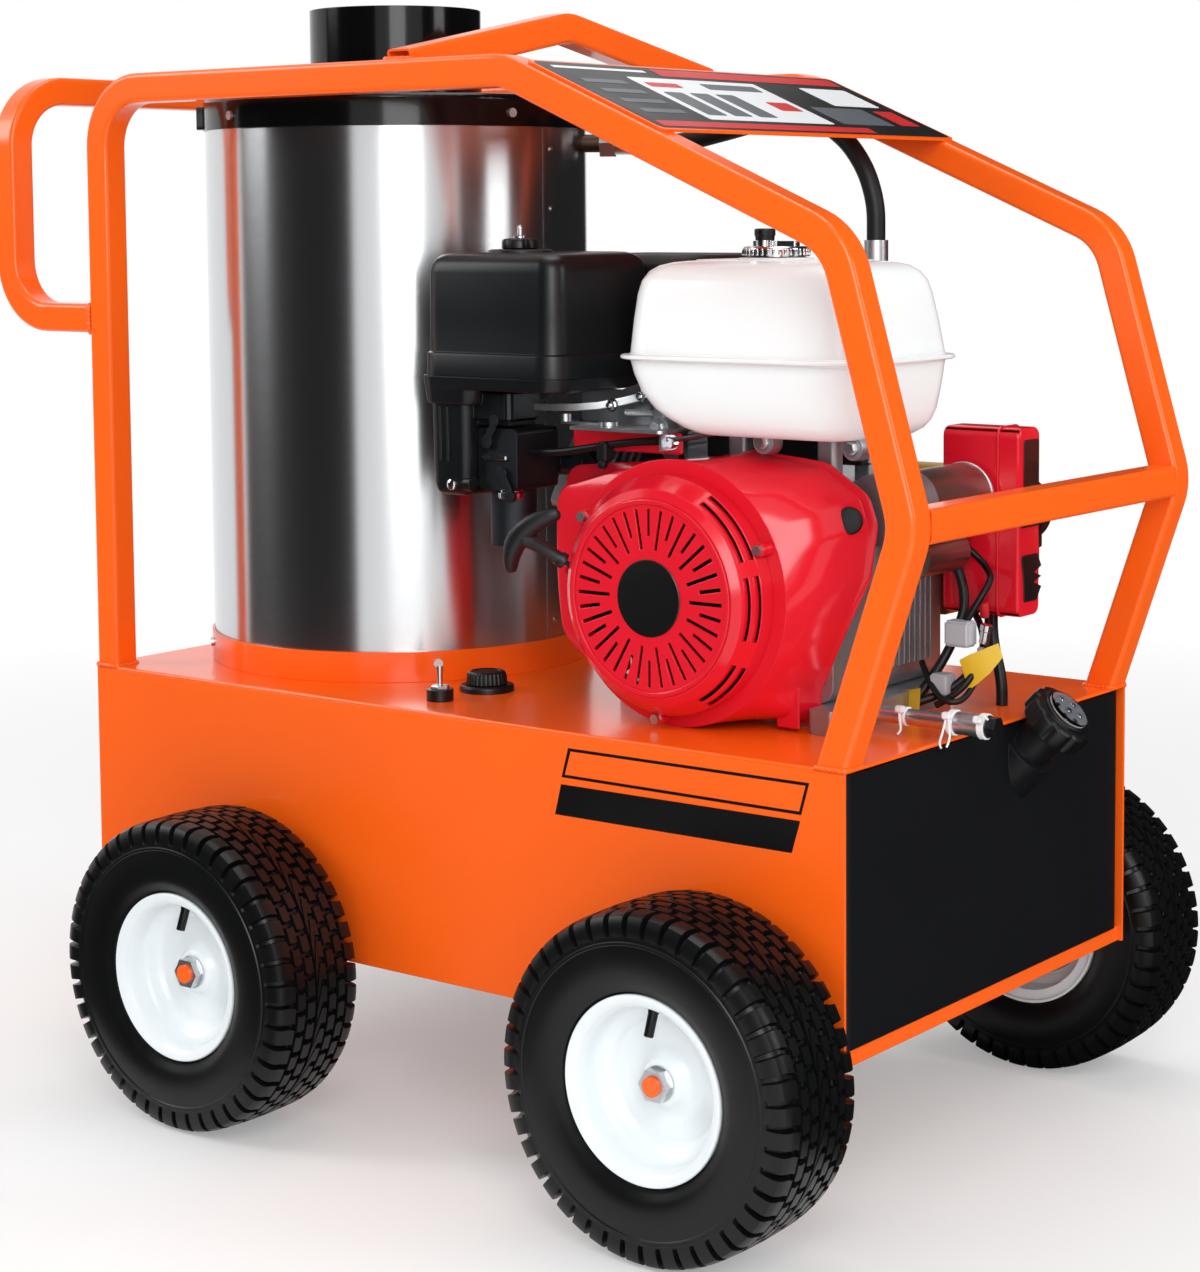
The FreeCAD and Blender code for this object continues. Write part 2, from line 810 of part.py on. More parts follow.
def engine_crankcase():
    """Cast crankcase with its feet, side ribs and the tank's support legs."""
    left = engine_x - crankcase_left
    right = engine_x + crankcase_right
    foot_top = deck_top + foot_thickness
    body = box((left, right), (crankcase_front, crankcase_back), (foot_top, crankcase_top))
    body = rounded(body, 18, Y)
    feet_x = (left - foot_reach, right + foot_reach)
    feet = rounded(box(feet_x, (crankcase_front, crankcase_back - 6), (deck_top, foot_top)), 10, Z)
    lug = box((right - 10, feet_x[1]), (crankcase_front - 31, crankcase_front + 12), (deck_top, foot_top))
    solids = [body, feet, rounded(lug, 6, Z)]
    for i in range(8):
        y = -12 + 10 * i
        solids.append(box((right - 2, right + 5), (y, y + 4), (foot_top + 24, engine_z + 40)))
    pad = box((right - 2, box_x[0]), (box_y[0], crankcase_back), (engine_z + 20, engine_z + 60))
    solids.append(pad)
    for x in (petrol_x[0] + 90, petrol_x[1] - 84):
        for y in (petrol_y[0] + 92, petrol_y[1] - 34):
            leg = box((x - 11, x + 11), (y - 9, y + 9), (crankcase_top - 30, petrol_bottom))
            solids.append(rounded(leg, 5, Z))
    body = join(solids)
    chamber = rod(on_crank(0, crankcase_front + 30, 0), Y, crankcase_back - crankcase_front - 50, 62)
    shaft_hole = rod(on_crank(0, crankcase_front - 1, 0), Y, 400, crank_radius + running_fit)
    bore = rod(crank, bore_way, 200, 44)
    return body.cut(chamber).cut(shaft_hole).cut(bore)


def cylinder_head():
    """Finned cylinder and head with its rocker cover."""
    y = (-82, 50)
    solids = [tilted_block(60, cylinder_reach, cylinder_half - 14, (y[0] + 12, y[1] - 12), 10)]
    for i in range(11):
        near = 118 + 9 * i
        solids.append(tilted_block(near, near + 3.5, cylinder_half, y, 1))
    solids.append(tilted_block(cylinder_reach - 14, cylinder_reach, cylinder_half, y, 6))
    port = rod(V(port_x, y[0] - 4, port_z), Y, 40, 17)
    outlet = rod(V(outlet_x, 10, port_z + 5), Z, muffler_z[0] - port_z - 5, 16)
    body = join(solids + [port, outlet])
    case = box((engine_x - crankcase_left, engine_x + crankcase_right), (crankcase_front, crankcase_back),
               (deck_top, petrol_bottom))
    body = body.cut(case).cut(rod(crank, bore_way, cylinder_reach - 20, 44))
    cover = tilted_block(cylinder_reach, cylinder_reach + head_cover_depth, cylinder_half - 12,
                         (y[0] + 10, y[1] - 10), 12)
    return body, cover


def crankshaft():
    """Shaft with its webs, crankpin and output end."""
    length = shaft_length + crankcase_back - flywheel_y()[0] - 6
    shaft = rod(on_crank(0, flywheel_y()[0] + 6, 0), Y, length, crank_radius)
    webs = []
    for y in (-52, -8):
        webs.append(rod(on_crank(0, y, 0), Y, 18, 50))
    pin = rod(on_crank(30, -52, 0), Y, 62, 16)
    return join([shaft, pin] + webs)


def flywheel_y():
    return shroud_front + 22, crankcase_front - 4


def flywheel_fan():
    """Flywheel with ring gear, cooling vanes and the starter cup."""
    front, back = flywheel_y()
    disc = rod(on_crank(0, back - 20, 0), Y, 20, flywheel_radius)
    cup = pipe(on_crank(0, front - 8, 0), Y, back - front - 12, 44, 4)
    vanes = []
    for i in range(20):
        vane = box((52, flywheel_radius - 2), (front + 4, back - 18), (-1.5, 1.5))
        vane.rotate(V(0, 0, 0), Y, 18 * i)
        vane.translate(crank)
        vanes.append(vane)
    body = join([disc, cup] + vanes)
    return body.cut(rod(on_crank(0, front - 20, 0), Y, 200, crank_radius + running_fit))


shroud_outline = [
    (-196, 110), (0, 128), (44, 138), (130, 130), (178, 100), (188, 72), (180, 20),
    (146, -46), (122, -98), (124, -129), (-62, -129), (-130, -100), (-182, -60),
]


def shroud_body(inset):
    """Prism of the flange's outline, drawn in towards the mouth by a cone."""
    corners = [on_crank(x, crankcase_front, z) for x, z in shroud_outline]
    wire = Part.makePolygon(corners + corners[:1])
    face = Part.Face(wire)
    if inset:
        face = Part.Face(face.makeOffset2D(-inset).Wires[0])
    depth = crankcase_front - shroud_front - inset
    prism = rounded(face.extrude(Y * -depth), 14 - inset, Y)
    wide = shroud_mouth - inset + 1.2 * depth
    cone = Part.makeCone(wide, shroud_mouth - inset, depth, on_crank(0, crankcase_front, 0), Y * -1)
    return prism.common(cone)


def fan_shroud():
    body = shroud_body(0).cut(shroud_body(shroud_wall))
    mouth = rod(on_crank(0, shroud_front - 1, 0), Y, shroud_wall + 2, recoil_radius - 8)
    body = body.cut(mouth)
    foot = box((engine_x + 92, engine_x + 119), (crankcase_front - 34, crankcase_front - 31),
               (deck_top + 3, deck_top + 44))
    return join([body, foot])


def ring_slot(inner, outer, start, span, y, depth):
    """Curved slot cutter about the crankshaft's axis."""
    corners = [V(0, 0, 0)]
    for i in range(5):
        angle = math.radians(start + span * i / 4)
        corners.append(V(200 * math.cos(angle), 0, 200 * math.sin(angle)))
    wedge = Part.Face(Part.makePolygon(corners + corners[:1])).extrude(Y * depth)
    wedge.translate(V(engine_x, y, engine_z))
    ring = pipe(on_crank(0, y, 0), Y, depth, outer, outer - inner)
    return ring.common(wedge)


rope_way = V(-0.55, -0.62, 0.56).normalize()
rope_exit = on_crank(-113, -213, 22)


def recoil_bolt(angle):
    """Front end of one of the ears that bolt the cover to the shroud."""
    a = math.radians(angle)
    reach = recoil_radius + 5.5
    return on_crank(reach * math.cos(a), shroud_front - 16, reach * math.sin(a))


def recoil_cover():
    """Starter cover: slotted face, louvred shoulder, post and rope outlet."""
    r = recoil_radius
    f = recoil_front
    w = recoil_wall
    outline = [
        (shroud_front, r), (f + 24, r), (f + 6, recoil_face_radius + 6), (f, recoil_face_radius - 2), (f, 0),
        (f + w, 0), (f + w, recoil_face_radius - 3), (f + 6 + w, recoil_face_radius + 4),
        (f + 24 + w, r - w), (shroud_front, r - w),
    ]
    body = turned(outline, V(engine_x, 0, engine_z), Y)
    cutters = []
    for i in range(slot_count):
        inner = slot_long if i % 2 == 0 else slot_short
        half = slot_width / 2
        cutters.append(box((inner, slot_outer), (f - 1, f + w + 1), (-half, half)))
        cutters[-1].rotate(V(0, 0, 0), Y, 360 * i / slot_count)
        cutters[-1].translate(crank)
    for start, span in ((22, 38), (-18, 32), (-62, 30)):
        for inner in (recoil_face_radius + 8, recoil_face_radius + 14):
            cutters.append(ring_slot(inner, inner + 3, start, span, f - 1, 32))
    body = body.cut(Part.makeCompound(cutters))
    post = rod(on_crank(0, f + w, 0), Y, 24, 8)
    boss = rod(rope_exit - rope_way * 16, rope_way, 16, 9)
    boss = boss.cut(rod(on_crank(0, f - 1, 0), Y, 60, r - w))
    boss = boss.cut(rod(rope_exit - rope_way * 30, rope_way, 60, rope_radius + 1))
    ears = []
    for angle in recoil_bolt_angles:
        ears.append(rod(recoil_bolt(angle), Y, 16, 6.5))
    inside = rod(on_crank(0, f - 1, 0), Y, 60, r - w)
    ears = [ear.cut(inside) for ear in ears]
    hole = rod(rope_exit - rope_way * 40, rope_way, 60, rope_radius + 1)
    return join([body, post, boss] + ears).cut(hole)


def recoil_reel():
    """Rope reel turning on the cover's post."""
    front = recoil_front + recoil_wall + 6
    outline = [(0, 8 + running_fit), (0, reel_radius), (3, reel_radius), (3, reel_radius - 14),
               (9, reel_radius - 14), (9, reel_radius), (12, reel_radius), (12, 8 + running_fit)]
    return turned(outline, on_crank(0, front, 0), Y)


def starter_rope():
    start = rope_exit - rope_way * 14
    return rod(start, rope_way, 14 + 6, rope_radius)


def starter_grip():
    """T-shaped handle with a tapered stem."""
    stem_start = rope_exit + rope_way * 6
    stem = Part.makeCone(7, 9.5, 50, stem_start, rope_way)
    centre = stem_start + rope_way * 53
    across = V(0.713, 0, 0.701).normalize()
    across = (across - rope_way * across.dot(rope_way)).normalize()
    bar = rod(centre - across * 34, across, 68, 11)
    ends = [Part.makeSphere(11, centre - across * 34), Part.makeSphere(11, centre + across * 34)]
    return join([stem, bar] + ends)


# Petrol tank and its cap


def inset_outline(inset, z, corner, left=0):
    """Rounded outline drawn in from the tank's sides, and further in on the left."""
    x = (petrol_x[0] + inset + left, petrol_x[1] - inset)
    y = (petrol_y[0] + inset, petrol_y[1] - inset)
    face = Part.makePlane(x[1] - x[0], y[1] - y[0], V(x[0], y[0], z))
    return rounded(face.extrude(Z), corner, Z).common(face).Wires[0]


def petrol_tank():
    """Pressed tank: tapered pan, seam lip, domed top and filler neck."""
    low = petrol_seam - pan_side
    floor = inset_outline(30, petrol_bottom, 26, pan_slope)
    shoulder = inset_outline(10, low, 34, pan_slope / 4)
    lower = Part.makeLoft([floor, shoulder, inset_outline(8, petrol_seam - 3, 36)], True, True)
    lip = Part.Face(inset_outline(0, petrol_seam - 3, 42)).extrude(Z * 4)
    upper = Part.Face(inset_outline(8, petrol_seam + 1, 36)).extrude(Z * (petrol_top - petrol_seam - 1))
    rim = [e for e in upper.Edges if abs(e.CenterOfMass.z - petrol_top) < 1e-3]
    upper = upper.makeFillet(26, rim)
    foot = V(petrol_cap_x, petrol_cap_y, petrol_top - 6)
    neck = rod(foot, Z, 12, petrol_cap_radius - 7)
    body = join([lower, lip, upper, neck])
    cavity = soft_box((petrol_x[0] + pan_slope + 44, petrol_x[1] - 55), (petrol_y[0] + 50, petrol_y[1] - 50),
                      (petrol_bottom + 8, petrol_top - 6), 20)
    upper_cavity = soft_box((petrol_x[0] + 16, petrol_x[1] - 16), (petrol_y[0] + 16, petrol_y[1] - 16),
                            (petrol_seam - 24, petrol_top - 24), 26)
    throat = rod(V(petrol_cap_x, petrol_cap_y, petrol_top - 12), Z, 20, petrol_cap_radius - 12)
    return body.cut(join([cavity, upper_cavity])).cut(throat)


def petrol_cap():
    """Plated cap with a raised vent tower at one side."""
    foot = V(petrol_cap_x, petrol_cap_y, petrol_top + 6 + seat_gap)
    disc = rod(foot, Z, 10, petrol_cap_radius)
    disc = disc.makeFillet(3, [e for e in disc.Edges if abs(e.CenterOfMass.z - foot.z - 10) < 1e-3])
    tower = rod(foot + V(-8, -8, 9), Z, 16, 9)
    bar = box((petrol_cap_x - 26, petrol_cap_x + 26), (petrol_cap_y - 5, petrol_cap_y + 5),
              (foot.z + 9, foot.z + 15))
    return join([disc, tower, rounded(bar, 3, Z)])


# Air cleaner, carburettor and muffler


def air_cleaner_base():
    """Tray under the filter with the inlet elbow below it."""
    tray = soft_box((cleaner_x[0] - 10, cleaner_x[1] + 4), (cleaner_y[0] - 3, cleaner_y[1] + 3),
                    (cleaner_bottom - 28, cleaner_bottom), 24)
    elbow = box((cleaner_x[0] - 6, cleaner_x[0] + 28), (cleaner_y[0] + 12, cleaner_y[0] + 92),
                (elbow_bottom, cleaner_bottom - 28))
    elbow = rounded(elbow, 10, Y)
    knee = box((cleaner_x[0] + 28, carburettor_x), (cleaner_y[0] + 30, cleaner_y[0] + 84),
               (elbow_bottom + 14, elbow_bottom + 68))
    stud = rod(V(stud_x, stud_y, cleaner_bottom - 10), Z, cleaner_top + 28 - cleaner_bottom, stud_radius)
    return join([tray, elbow, knee, stud])


def air_cleaner_cover():
    """Deep cover with its wing knob."""
    shell = soft_box(cleaner_x, cleaner_y, (cleaner_bottom, cleaner_top), 22, 14)
    w = cleaner_wall
    inside = soft_box((cleaner_x[0] + w, cleaner_x[1] - w), (cleaner_y[0] + w, cleaner_y[1] - w),
                      (cleaner_bottom, cleaner_top - w), 19, 11)
    shell = shell.cut(inside)
    hole = rod(V(stud_x, stud_y, cleaner_bottom), Z, 200, stud_radius + seat_gap)
    foot = V(stud_x, stud_y, cleaner_top)
    knob = [rod(foot, Z, 14, 11)]
    for i in range(5):
        knob.append(rod(foot + around(72 * i) * 17 + Z * 3, Z, 9, 8))
    return group([shell.cut(hole), join(knob).cut(hole)])


def carburettor():
    """Carburettor with its float bowl, and the throttle plate beside it."""
    face = carburettor_front
    left = carburettor_x
    body = rounded(box((left, left + carburettor_width), (face, face + 66), carburettor_z), 6, Y)
    bend_y = (crankcase_front - 86) / 2
    neck = rod(V(left + 34, face + 66, port_z), Y, bend_y - face - 66, 13)
    elbow = Part.makeSphere(13, V(left + 34, bend_y, port_z))
    run = rod(V(left + 34, bend_y, port_z), X, port_x - left - 34, 13)
    flange = rod(V(port_x, bend_y - 12, port_z), Y, -86 - bend_y + 12, 16)
    bowl = rod(V(left + bowl_radius, face + 28, bowl_bottom), Z, carburettor_z[0] - bowl_bottom + 2, bowl_radius)
    drain = hex_rod(V(left + bowl_radius, face + 28, bowl_bottom - 8), Z, 10, 12)
    main = join([body, neck, elbow, run, flange, bowl, drain])
    plate_back = crankcase_front + 19
    plate = box(plate_x, (plate_front, plate_back), (plate_z, plate_z + sheet))
    web = box((plate_x[0] + 46, plate_x[0] + 94), (plate_back - 16, plate_back), (crankcase_top, plate_z))
    tab = box((cable_stop_x, cable_stop_x + sheet), (cable_y - 10, cable_y + 10), (plate_z - 18, plate_z))
    return group([main, join([rounded(plate, 8, Z), web, tab])])


def throttle_lever():
    foot = V(throttle_x, throttle_y, plate_z + sheet + seat_gap)
    hub = rod(foot, Z, 4, 10)
    arm = box((foot.x - 58, foot.x), (foot.y - 6, foot.y + 6), (foot.z, foot.z + 2.5))
    tip = rod(foot + V(-56, 0, 0), Z, 10, 6)
    return join([hub, arm, tip])


def face_lever(x, z, length, angle):
    """Small flat lever standing on the carburettor's front face."""
    foot = V(x, carburettor_front - seat_gap, z)
    hub = rod(foot, Y * -1, 4, 7)
    arm = box((0, length), (-4, -1.5), (-4, 4))
    tip = rod(V(length, -1.5, 0), Y * -1, 5, 6)
    bar = join([arm, tip])
    bar.rotate(V(0, 0, 0), Y, angle)
    bar.translate(foot)
    return join([hub, bar])


def muffler():
    """Silencer can on its outlet flange, inside a louvred heat guard."""
    can = soft_box(muffler_x, muffler_y, muffler_z, 26, 20)
    gap = guard_gap
    skin = [(side[0] + 2, side[1] - 2) for side in (muffler_x, muffler_y, muffler_z)]
    can = can.cut(soft_box(skin[0], skin[1], skin[2], 24, 18))
    outer_x = (muffler_x[0] - gap, muffler_x[1] + gap - 8)
    outer_y = (muffler_y[0] - gap + 5, muffler_y[1] + gap)
    outer_z = (muffler_z[0] + 12, muffler_z[1] + gap)
    guard = soft_box(outer_x, outer_y, outer_z, 30, 14)
    w = guard_wall
    inner = soft_box((outer_x[0] + w, outer_x[1] - w), (outer_y[0] + w, outer_y[1] - w),
                     (outer_z[0] - 1, outer_z[1] - w), 28, 12)
    guard = guard.cut(inner)
    slots = []
    for i in range(9):
        x = muffler_x[0] + 14 + 16 * i
        slots.append(box((x, x + 6), (muffler_y[0] + 16, muffler_y[1] - 16), (outer_z[1] - 4, outer_z[1] + 4)))
    guard = guard.cut(Part.makeCompound(slots))
    feet = []
    for x in (muffler_x[0] + 40, muffler_x[1] - 40):
        feet.append(rod(V(x, 27, muffler_z[1]), Z, gap - w, 6))
    return group([join([can] + feet), guard])


# Starter motor, control box and cables


def starter_motor():
    start = V(starter_x, starter_y[0], starter_z)
    body = rod(start, Y, starter_y[1] - starter_y[0], starter_radius)
    nose = rod(start, Y, 58, starter_radius + 2)
    mount = box((engine_x + crankcase_right, starter_x), (starter_y[0], starter_y[0] + 14),
                (starter_z - 30, starter_z + 22))
    solenoid = rod(V(starter_x - 6, -18, starter_z - 56), Y, 78, 20)
    strap = box((starter_x - 12, starter_x + 8), (-10, 20), (starter_z - 50, starter_z - 20))
    body = join([body, nose, mount, solenoid, strap])
    ends = [e for e in body.Edges if abs(e.CenterOfMass.y - starter_y[1]) < 1e-3]
    return body.makeFillet(4, ends)


def control_box():
    body = box(box_x, box_y, box_z)
    body = rounded(body, 10, X)
    inside = [(side[0] + 2, side[1] - 2) for side in (box_x, box_y, box_z)]
    return rounded(body, 4, Y).cut(box(inside[0], inside[1], inside[2]))


def key_centre():
    return V(box_x[1] - 28, box_y[1], key_z)


def ignition_key():
    foot = key_centre() + Y * (18 + seat_gap)
    blade = box((-2, 2), (0, 12), (-5, 5))
    bow = rounded(box((-2, 2), (10, 32), (-11, 11)), 6, X)
    key = join([blade, bow])
    key.translate(foot)
    return key


def wiring_harness():
    """Sleeved cable over the shroud and the loom under the control box."""
    over = [
        V(carburettor_x + carburettor_width + seat_gap, -168, plate_z - 26),
        V(plate_x[0] - 16, -170, plate_z - 25),
        V(throttle_x - 8, -169, plate_z - 18), V(throttle_x + 36, -164, plate_z - 11),
        V(cable_stop_x - cable_end_gap, cable_y, plate_z - 8),
    ]
    way_out = V(box_x[0] + 47, 102, box_z[0])
    loom = [
        way_out, way_out + V(0, 0, -18), way_out + V(3.9, -2.1, -37), way_out + V(12.6, -6.7, -56),
        way_out + V(17, -9, -75), V(way_out.x + 17, way_out.y - 9, deck_top),
    ]
    return group([hose(over, 4, "throttle cable"), hose(loom, 6, "loom")])


# Pump and pipework


def water_pump():
    """Pump crankcase bolted to the engine's output face."""
    flange = rod(on_crank(0, crankcase_back, 0), Y, pump_y[0] - crankcase_back, 62)
    body = box((engine_x - pump_half, engine_x + pump_half), pump_y, (engine_z - pump_half, engine_z + pump_half))
    body = rounded(body, 14, Y)
    cap = rod(on_crank(0, pump_y[1], 0), Y, 10, 44)
    filler = rod(on_crank(-34, pump_y[0] + 30, pump_half - 1), Z, 15, 10)
    fins = []
    fin_y = (pump_y[0] + 8, pump_y[1] - 8)
    for i in range(6):
        z = engine_z - 50 + 20 * i
        fins.append(box((engine_x - pump_half - 8, engine_x - pump_half + 1), fin_y, (z, z + 4)))
    body = join([flange, body, cap, filler] + fins)
    cavity = rod(on_crank(0, pump_y[0] + 4, 0), Y, pump_y[1] - pump_y[0] - 8, 46)
    return body.cut(cavity).cut(rod(on_crank(0, crankcase_back, 0), Y, 40, crank_radius + running_fit))


def pump_manifold():
    """Brass head with valve caps, the water inlet and the unloader valve."""
    left = engine_x + pump_half
    x = (left, left + manifold_depth)
    block = rounded(box(x, (pump_y[0] + 12, pump_y[1]), (engine_z - 48, engine_z + 48)), 6, Y)
    solids = [block]
    for z in (-30, 0, 30):
        for y in (pump_y[0] + 34, pump_y[1] - 18):
            solids.append(hex_rod(V(x[1] - 1, y, engine_z + z), X, 7, 20))
    inlet = rod(V(x[0] + 30, pump_y[1], engine_z - 24), Y, 34, 15)
    neck = rod(V(x[0] + 30, riser_y, engine_z + 48), Z, 26, 13)
    unloader = rod(V(riser_x - 14, riser_y, engine_z + 90), X, x[1] + 2 - riser_x + 14, 17)
    elbow = rod(V(riser_x, riser_y, engine_z + 90), Z, 26, 13)
    solids += [inlet, neck, unloader, elbow]
    body = join(solids)
    return body.cut(rod(V(x[0] + 30, pump_y[1] + 12, engine_z - 24), Y, 40, 9.5))


def unloader_knob():
    start = V(engine_x + pump_half + manifold_depth + 2 + seat_gap, riser_y, engine_z + 90)
    knob = rod(start, X, 22, 16)
    grips = []
    for i in range(8):
        a = math.radians(45 * i)
        grips.append(rod(start + V(0, 18 * math.cos(a), 18 * math.sin(a)), X, 18, 4))
    return knob.cut(Part.makeCompound(grips))


def steel_pipes():
    """Hose riser and ferrules, coil unions, hot-water outlet, oil drain."""
    start = V(riser_x, riser_y, engine_z + 116)
    riser = rod(start, Z, riser_top - start.z, 9)
    nut = hex_rod(V(riser_x, riser_y, riser_top - 16), Z, 14, 24)
    ferrule = rod(V(riser_x, riser_y, riser_top), Z, ferrule_length, 13)
    way = around(port_angle)
    union = hex_rod(boiler_axis(coil_top) + way * port_reach, way, 16, 30)
    far_ferrule = rod(boiler_axis(coil_top) + way * (port_reach + 16), way, ferrule_length, 13)
    out = around(outlet_angle)
    outlet = hex_rod(boiler_axis(coil_bottom) + out * port_reach, out, 14, 30)
    socket = rod(boiler_axis(coil_bottom) + out * (port_reach + 14), out, 34, 15)
    bore = rod(boiler_axis(coil_bottom) + out * (port_reach + 20), out, 40, 8)
    drain_start = V(engine_x + crankcase_right + foot_reach, -90, deck_top + 17)
    drain = rod(drain_start, X, 96, 8)
    coupling = rod(drain_start + X * 96, X, 44, 11)
    cap = hex_rod(drain_start + X * 140, X, 10, 18)
    return group([join([riser, nut, ferrule]), join([union, far_ferrule]),
                  join([outlet, socket]).cut(bore), join([drain, coupling, cap])])


def pressure_hose():
    way = around(port_angle)
    last = boiler_axis(coil_top) + way * (port_reach + 16 + ferrule_length)
    foot = V(riser_x, riser_y, riser_top + ferrule_length)
    route = [
        foot, foot + V(0, 0, 37), foot + V(-11.4, 0.5, 72), foot + V(-33, 1.5, 102), foot + V(-63, 3, 124),
        foot + V(-98, 5.5, 135), foot + V(-135, 12, 135), foot + V(-192, 29, 125), last + way * 56, last,
    ]
    return hose(route, hose_radius, "pressure hose")


# Fasteners


def fasteners():
    solids = []
    for name, side, centre in wheel_places():
        start = V(centre.x, side * (track_half + hub_outer + seat_gap), axle_z)
        ring = pipe(start, Y * side, 2.2, 17, 17 - spindle_radius - running_fit)
        nut = hex_rod(start + Y * (side * 2.4), Y * side, 9, 28)
        solids += [ring, nut.cut(rod(start, Y * side, 20, spindle_radius + running_fit))]
    for i in range(4):
        way = around(90 * i + ring_screw_angle)
        reach = jacket_radius + seat_gap + base_ring_wall
        solids.append(rod(boiler_axis(deck_top + 20) + way * reach, way, 3, 5))
        way = around(90 * i + lid_screw_angle)
        reach = jacket_radius + seat_gap + lid_wall
        solids.append(rod(boiler_axis(lid_bottom + 14) + way * reach, way, 3, 5))
    for angle in recoil_bolt_angles:
        solids.append(hex_rod(recoil_bolt(angle), Y * -1, 5, 9))
    left = engine_x - crankcase_left - foot_reach / 2
    right = engine_x + crankcase_right + foot_reach / 2
    for x in (left, right):
        for y in (-60, 60):
            solids.append(hex_rod(V(x, y, deck_top + foot_thickness), Z, 8, 15))
    return group(solids)


def save(node, shape, shift):
    copy = shape.copy()
    copy.translate(shift)
    copy.exportStep("parts/" + node + ".step")


def build():
    nodes = {}
    nodes["deck_plate"] = deck_plate()
    nodes["chassis_panels"] = skirts()
    nodes["axles"] = group([axle(rear_axle_x), axle(front_axle_x)])
    rim_body, valve = rim()
    rim_shape = group([rim_body, valve])
    tyre_shape = tyre()
    for name, side, centre in wheel_places():
        nodes["rim_" + name] = placed_wheel(rim_shape, side, centre)
        nodes["tyre_" + name] = placed_wheel(tyre_shape, side, centre)
    nodes["near_side_rail"] = side_rail(-1)
    nodes["far_side_rail"] = side_rail(1)
    nodes["front_crossbar"] = front_crossbar()
    nodes["push_handle"] = push_handle()
    nodes["lifting_bar"] = lifting_bar()
    nodes["sign_panel"] = sign_panel()
    nodes["boiler_jacket"] = boiler_jacket()
    nodes["boiler_base_ring"] = boiler_base_ring()
    nodes["boiler_blanket"] = boiler_blanket()
    nodes["heating_coil"] = heating_coil()
    nodes["boiler_lid"] = boiler_lid()
    nodes["exhaust_stack"] = exhaust_stack()
    nodes["burner_housing"] = burner_housing()
    nodes["burner_motor"] = burner_motor()
    nodes["burner_fan"] = burner_fan()
    nodes["diesel_tank"] = diesel_tank()
    nodes["diesel_cap"] = diesel_cap()
    nodes["battery"] = battery()
    nodes["control_bases"] = control_bases()
    nodes["burner_toggle"] = burner_toggle()
    nodes["thermostat_dial"] = thermostat_dial()
    nodes["engine_crankcase"] = engine_crankcase()
    nodes["cylinder_head"] = group(cylinder_head())
    nodes["crankshaft"] = crankshaft()
    nodes["flywheel_fan"] = flywheel_fan()
    nodes["fan_shroud"] = fan_shroud()
    nodes["recoil_cover"] = recoil_cover()
    nodes["recoil_reel"] = recoil_reel()
    nodes["starter_rope"] = starter_rope()
    nodes["starter_grip"] = starter_grip()
    nodes["petrol_tank"] = petrol_tank()
    nodes["petrol_cap"] = petrol_cap()
    nodes["air_cleaner_base"] = air_cleaner_base()
    nodes["air_cleaner_cover"] = air_cleaner_cover()
    nodes["carburettor"] = carburettor()
    nodes["throttle_lever"] = throttle_lever()
    nodes["choke_lever"] = face_lever(carburettor_x + 14, choke_z, lever_reach, -60)
    nodes["fuel_valve_lever"] = face_lever(carburettor_x + 34, fuel_valve_z, lever_reach, 60)
    nodes["muffler"] = muffler()
    nodes["starter_motor"] = starter_motor()
    nodes["control_box"] = control_box()
    nodes["ignition_key"] = ignition_key()
    nodes["wiring_harness"] = wiring_harness()
    nodes["water_pump"] = water_pump()
    nodes["pump_manifold"] = pump_manifold()
    nodes["unloader_knob"] = unloader_knob()
    nodes["steel_pipes"] = steel_pipes()
    nodes["pressure_hose"] = pressure_hose()
    nodes["fasteners"] = fasteners()
    return nodes


os.makedirs("parts", exist_ok=True)
built = build()
overall_middle = (handle_x - tube_side / 2 + nose_front()[0]) / 2
for node, shape in built.items():
    print(node, "solids", len(shape.Solids), "valid", shape.isValid(), "volume", round(shape.Volume / 1000, 1))
    save(node, shape, V(-overall_middle, 0, 0))
print("nodes", len(built), "middle", overall_middle)
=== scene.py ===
import math

import bmesh
import bpy
from mathutils import Matrix, Vector


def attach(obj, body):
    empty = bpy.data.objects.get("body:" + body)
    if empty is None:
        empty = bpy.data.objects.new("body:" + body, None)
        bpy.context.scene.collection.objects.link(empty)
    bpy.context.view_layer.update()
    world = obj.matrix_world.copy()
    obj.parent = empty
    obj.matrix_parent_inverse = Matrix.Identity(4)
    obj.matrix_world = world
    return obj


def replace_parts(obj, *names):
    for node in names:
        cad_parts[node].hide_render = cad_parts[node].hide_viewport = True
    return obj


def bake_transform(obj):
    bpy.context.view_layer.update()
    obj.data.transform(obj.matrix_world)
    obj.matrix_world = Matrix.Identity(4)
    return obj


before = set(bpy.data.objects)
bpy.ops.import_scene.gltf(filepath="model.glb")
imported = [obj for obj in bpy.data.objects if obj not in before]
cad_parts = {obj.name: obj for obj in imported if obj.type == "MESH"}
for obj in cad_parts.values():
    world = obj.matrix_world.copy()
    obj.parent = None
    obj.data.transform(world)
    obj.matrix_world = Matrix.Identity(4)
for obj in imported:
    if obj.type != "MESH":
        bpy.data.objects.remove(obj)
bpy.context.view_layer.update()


# Deck and skirts
# The deck is a folded mild-steel tray with welded skirts, sprayed with gloss
# orange enamel. The enamel shows a faint orange peel and a deep, wet gloss.

middle = 459.955


def at(x, y, z):
    """Point given in millimetres from the deck's rear end and the floor."""
    return Vector((x - middle, y, z)) / 1000


def linear(hex_colour):
    channels = [int(hex_colour[i:i + 2], 16) / 255 for i in (1, 3, 5)]
    return [c / 12.92 if c <= 0.04045 else ((c + 0.055) / 1.055) ** 2.4 for c in channels] + [1]


